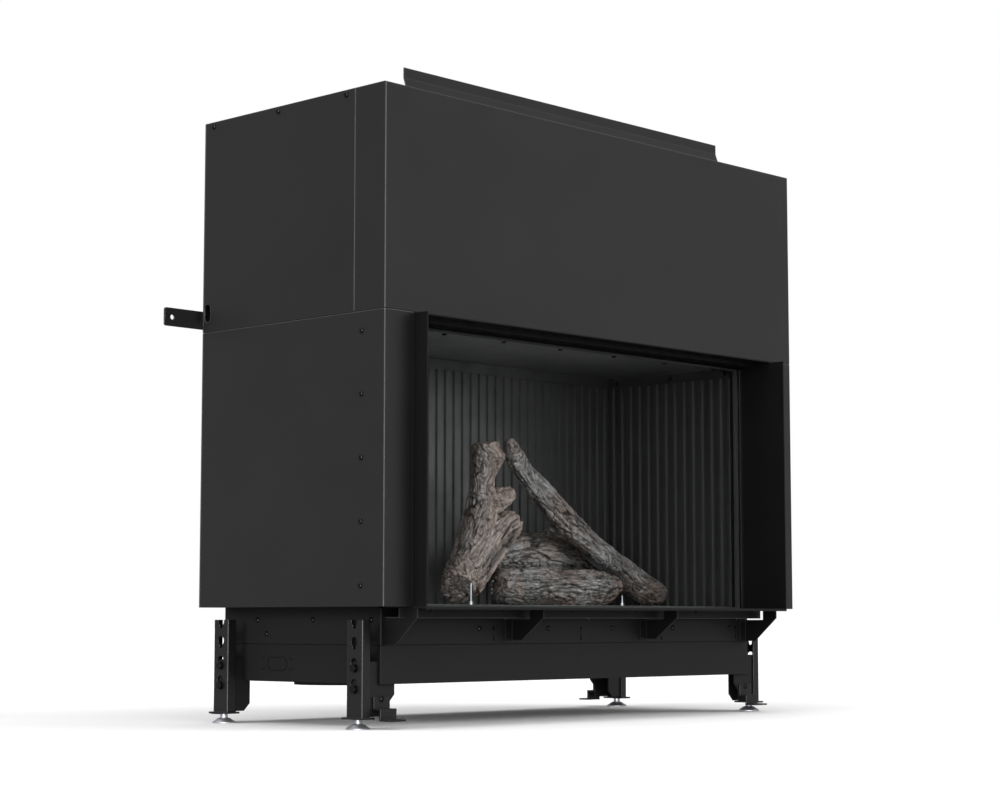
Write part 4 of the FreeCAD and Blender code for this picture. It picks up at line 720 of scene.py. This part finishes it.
# Each limb is a row of stops in millimetres:
# right of the middle, behind the casing front, above the hearth, radius.
LOGS = {
    "log_front": [
        [(-110, 166, 33, 22), (-96, 166, 32, 32), (-30, 163, 33, 34), (60, 165, 33, 33),
         (140, 168, 33, 34), (182, 168, 34, 30), (204, 168, 38, 20)],
        [(140, 162, 36, 25), (208, 158, 40, 16)],
        [(-88, 160, 46, 18), (-20, 156, 50, 18), (90, 160, 47, 17)],
        [(40, 156, 16, 18), (150, 158, 14, 18)],
    ],
    "log_rear": [
        [(-22, 288, 96, 28), (0, 288, 98, 35), (70, 292, 101, 37), (150, 290, 103, 37),
         (225, 288, 95, 34), (262, 288, 86, 26)],
        [(20, 292, 92, 30), (110, 294, 90, 32), (200, 292, 88, 30)],
        [(140, 285, 118, 20), (160, 282, 146, 9)],
    ],
    "log_upright": [
        [(-204, 176, 29, 30), (-176, 195, 50, 34), (-148, 198, 84, 36), (-130, 199, 129, 33),
         (-119, 200, 176, 28), (-117, 201, 211, 22), (-113, 202, 238, 23), (-103, 203, 265, 29),
         (-108, 203, 294, 26)],
        [(-172, 190, 36, 30), (-134, 187, 84, 32), (-88, 186, 126, 29), (-62, 186, 147, 26),
         (-50, 186, 155, 20)],
        [(-150, 192, 70, 34), (-110, 192, 112, 34), (-76, 190, 142, 27)],
        [(-122, 199, 174, 26), (-88, 197, 190, 23), (-62, 196, 199, 18), (-46, 195, 206, 12)],
        [(-108, 202, 246, 18), (-84, 203, 266, 20), (-68, 203, 276, 14)],
    ],
    "log_leaning": [
        [(-17, 228, 307, 7), (-9, 228, 293, 14), (-3, 228, 277, 17), (25, 228, 247, 19),
         (74, 227, 211, 21), (127, 227, 173, 22), (170, 226, 143, 23), (213, 226, 111, 24),
         (266, 225, 84, 26), (310, 224, 60, 28), (362, 223, 35, 28), (402, 222, 22, 25)],
        [(-16, 220, 264, 9), (42, 218, 208, 11), (91, 218, 168, 12), (128, 217, 142, 13),
         (187, 216, 112, 13), (225, 214, 90, 12)],
        [(150, 222, 150, 12), (240, 214, 88, 15), (330, 208, 46, 14)],
    ],
}

# How pale each log is painted, from 0 to 1, and how much its relief changes that: paler ridges, partly
# painted highlight, and darker clefts, partly painted shade.
PALENESS = {"log_front": 0.61, "log_rear": 0.8, "log_upright": 0.77, "log_leaning": 0.71}
BROAD_PALENESS = 0.2
FINE_PALENESS = 0.5

# The fibres run along the nearest limb, and each limb's direction is taken towards this side.
GRAIN_SIDE = Vector((0.5, 0, 1))
# Distances count in limb radii, none as less than the first value; the power lets the nearest limb win.
NEAREST = 0.2
NEAR_POWER = 8

# Bark patterns: how many repeats a metre has, and a shift that keeps one pattern from lying on another.
BARK = {
    "bend": (30, (0, 0, 0)),
    "lobes": (20, (0, 0, 0)),
    "layers": (46, (3, 1, 8)),
    "clefts": (34, (7, 3, 5)),
    "cracks": (84, (2, 6, 1)),
    "strands": (170, (0, 0, 0)),
    "flakes": (120, (5, 2, 9)),
    "pits": (150, (1, 9, 4)),
}
BEND = 4 * MM
BEND_SHIFTS = (Vector((9, 2, 8)), Vector((1, 5, 3)), Vector((7, 4, 6)))
LAYER_STEPS = 3
CLEFT_WIDTH = 0.06
CRACK_WIDTH = 0.12
FLAKE_WIDTH = 0.2
PIT_LEVEL = 0.2
STRAND_ROUGHNESS = 0.8
STRAND_SCALING = 2.1
STRAND_OCTAVES = 3

# How far each pattern stands out or cuts in, as shares of the carving depth.
LOBE_HEIGHT = 0.5
LAYER_HEIGHT = 0.22
STRAND_HEIGHT = 0.28
CLEFT_DEPTH = 0.7
CRACK_DEPTH = 0.5
FLAKE_DEPTH = 0.42
PIT_DEPTH = 0.8
CARVE_DEPTH = 4.4 * MM
CARVE_LIFT = 0.15

# Patterns are drawn out along the fibres: this share of the way along a limb counts for them.
FIBRE_SHARE = 0.16
FLAKE_SHARE = 0.5


def limb_stops(limb):
    """A limb's stops in metres, each a centre and a radius."""
    stops = []
    for x, setback, height, radius in limb:
        centre = Vector((x * MM, casing_front + setback * MM, hearth_z + height * MM))
        stops.append((centre, radius * MM))
    return stops


def add_limb(mesh, stops):
    """A tube of rings at even steps along a limb."""
    rows = []
    for (start, first), (end, last) in zip(stops, stops[1:]):
        direction = (end - start).normalized()
        count = max(FEWEST_STEPS, int((end - start).length / RING_STEP))
        for index in range(count):
            share = index / count
            rows.append((start.lerp(end, share), direction, first + (last - first) * share))
    tip, tip_radius = stops[-1]
    rows.append((tip, (tip - stops[-2][0]).normalized(), tip_radius))
    flat = [0] * RING_SIDES
    rings = []
    for centre, direction, radius in rows:
        rings.append(placed_ring(centre, direction.to_track_quat("Z", "Y"), [radius] * RING_SIDES, flat))
    skin_rings(mesh, rings)


def grain_axis(spot, limbs):
    """The way the fibres run at a point: the limbs' directions, the nearest counting most."""
    total = Vector()
    for stops in limbs:
        for (start, first), (end, last) in zip(stops, stops[1:]):
            axis = end - start
            share = min(1, max(0, (spot - start).dot(axis) / axis.length_squared))
            distance = (spot - start.lerp(end, share)).length / (first + (last - first) * share)
            facing = 1 if axis.dot(GRAIN_SIDE) > 0 else -1
            total += axis.normalized() * facing * max(distance, NEAREST) ** -NEAR_POWER
    return total.normalized()


def pattern_spot(name, spot):
    """A point in the coordinates of a bark pattern."""
    repeats, shift = BARK[name]
    return spot * repeats + Vector(shift)


def groove(spot, width):
    """A sharp valley along the lines where smooth noise crosses zero."""
    return max(0, 1 - abs(noise.noise(spot)) / width)


def bark_relief(fibre, flake, spot):
    """How far the surface stands out: broad lobes, and the fine layers, clefts, cracks, flakes and pits."""
    bend_spot = pattern_spot("bend", spot)
    bend = BEND * Vector([noise.noise(bend_spot + shift) for shift in BEND_SHIFTS])
    fibre = fibre + bend
    flake = flake + bend
    lobes = noise.noise(pattern_spot("lobes", spot))
    layers = round(LAYER_STEPS * noise.noise(pattern_spot("layers", fibre))) / LAYER_STEPS
    clefts = groove(pattern_spot("clefts", fibre), CLEFT_WIDTH)
    cracks = groove(pattern_spot("cracks", fibre), CRACK_WIDTH)
    strand_spot = pattern_spot("strands", fibre)
    strands = noise.fractal(strand_spot, STRAND_ROUGHNESS, STRAND_SCALING, STRAND_OCTAVES)
    flakes = groove(pattern_spot("flakes", flake), FLAKE_WIDTH)
    pits = max(0, noise.noise(pattern_spot("pits", spot)) - PIT_LEVEL)
    fine = LAYER_HEIGHT * layers + STRAND_HEIGHT * strands - CLEFT_DEPTH * clefts - CRACK_DEPTH * cracks
    fine = fine - FLAKE_DEPTH * flakes - PIT_DEPTH * pits
    return LOBE_HEIGHT * lobes, fine


def carve(mesh, limbs, paleness):
    """Moves the surface along its normals, keeps it above the hearth and stores what the paint needs."""
    normals = [vertex.normal.copy() for vertex in mesh.vertices]
    middle = sum((vertex.co for vertex in mesh.vertices), Vector()) / len(mesh.vertices)
    pale_values = []
    fibre_values = []
    for vertex, normal in zip(mesh.vertices, normals):
        spot = vertex.co.copy()
        axis = grain_axis(spot, limbs)
        travel = (spot - middle).dot(axis)
        fibre = spot - axis * travel * (1 - FIBRE_SHARE)
        flake = spot - axis * travel * (1 - FLAKE_SHARE)
        broad, fine = bark_relief(fibre, flake, spot)
        vertex.co = spot + normal * CARVE_DEPTH * (broad + fine + CARVE_LIFT)
        vertex.co.z = max(vertex.co.z, hearth_z)
        # Ridges paler, clefts darker: partly the logs' own paint, partly painted highlight and painted
        # shade.
        pale_values.append(min(1, max(0, paleness + BROAD_PALENESS * broad + FINE_PALENESS * fine)))
        fibre_values.extend(fibre)
    mesh.attributes.new("relief", "FLOAT", "POINT").data.foreach_set("value", pale_values)
    mesh.attributes.new("grain", "FLOAT_VECTOR", "POINT").data.foreach_set("vector", fibre_values)
    mesh.shade_smooth()


def carved_log(name, limb_tables):
    """A log whose limbs are joined into one skin and carved."""
    paint = COAT_OF_NODE.get(name, "ceramic_log")
    limbs = [limb_stops(table) for table in limb_tables]
    shape = bmesh.new()
    for stops in limbs:
        add_limb(shape, stops)
    piece = finish_piece(shape, name + "_carved", "fireplace", name, paint)
    joined = piece.modifiers.new("joined", "REMESH")
    joined.mode = "VOXEL"
    joined.voxel_size = VOXEL
    eased = piece.modifiers.new("eased", "SMOOTH")
    eased.iterations = EASE_ROUNDS
    bpy.context.view_layer.update()
    evaluated = piece.evaluated_get(bpy.context.evaluated_depsgraph_get())
    piece.data = bpy.data.meshes.new_from_object(evaluated)
    piece.modifiers.clear()
    carve(piece.data, limbs, PALENESS[name])
    dress(piece, paint)


for log_name, log_limbs in LOGS.items():
    carved_log(log_name, log_limbs)


# Stage, light and camera

FLOOR_HALF = 40
SUN_DISTANCE = 5
WORLD_ON_OBJECT = 0.4
WORLD_TO_CAMERA = 1.0
# Angles in degrees, lens and sensor in millimetres.
CAMERA_TURN = -46.40
CAMERA_TILT = 95.73
CAMERA_LENS = 79.18
CAMERA_SENSOR = 36
# The camera stands this far left of the middle, before the casing front and below the casing's lower edge.
CAMERA_LEFT = 2.9701
CAMERA_BEFORE = 2.5613
CAMERA_BELOW = 0.0226


def add_floor():
    """A floor that no light bounces from and that shows in no reflection."""
    mesh = bpy.data.meshes.new("floor")
    half = FLOOR_HALF
    corners = [(-half, -half, 0), (half, -half, 0), (half, half, 0), (-half, half, 0)]
    mesh.from_pydata(corners, [], [(0, 1, 2, 3)])
    floor = bpy.data.objects.new("floor", mesh)
    scene.collection.objects.link(floor)
    mesh.materials.append(pale_floor())
    floor.visible_diffuse = False
    floor.visible_glossy = False


def add_sun(name, turn, elevation, strength, softness, lights=True, mirrored=True):
    """Soft distant light, turned from straight in front: it lights surfaces, shows as a shine, or both."""
    light = bpy.data.lights.new(name, "SUN")
    light.energy = strength
    light.angle = math.radians(softness)
    turn = math.radians(turn)
    rise = math.radians(elevation)
    away = Vector((math.sin(turn) * math.cos(rise), -math.cos(turn) * math.cos(rise), math.sin(rise)))
    lamp = bpy.data.objects.new(name, light)
    lamp.visible_diffuse = lights
    lamp.visible_glossy = mirrored
    lamp.location = away * SUN_DISTANCE
    lamp.rotation_euler = (-away).to_track_quat("-Z", "Y").to_euler()
    scene.collection.objects.link(lamp)


def add_world():
    """White to the camera, softer to the object."""
    world = bpy.data.worlds.new("studio")
    world.use_nodes = True
    scene.world = world
    tree = world.node_tree
    to_camera = add_node(tree, "ShaderNodeLightPath").outputs["Is Camera Ray"]
    strength = spread(tree, to_camera, WHOLE, (WORLD_ON_OBJECT, WORLD_TO_CAMERA))
    wire(tree, tree.nodes["Background"], {"Color": grey(1), "Strength": strength})


def add_camera():
    camera_data = bpy.data.cameras.new("camera")
    camera_data.sensor_width = CAMERA_SENSOR
    camera_data.lens = CAMERA_LENS
    camera = bpy.data.objects.new("camera", camera_data)
    camera.location = (-CAMERA_LEFT, casing_front - CAMERA_BEFORE, casing_low.z - CAMERA_BELOW)
    camera.rotation_euler = (math.radians(CAMERA_TILT), 0, math.radians(CAMERA_TURN))
    scene.collection.objects.link(camera)
    scene.camera = camera


add_floor()
add_world()
add_sun("key", turn=CAMERA_TURN, elevation=12, strength=0.3, softness=44)
add_sun("rim", turn=CAMERA_TURN, elevation=4, strength=5.0, softness=40, lights=False)
add_sun("side", turn=-96, elevation=14, strength=1.4, softness=20, mirrored=False)
add_sun("fill", turn=44, elevation=10, strength=3.45, softness=50, mirrored=False)
add_sun("top", turn=CAMERA_TURN, elevation=80, strength=1.9, softness=70)
add_camera()
scene.view_settings.view_transform = "Standard"
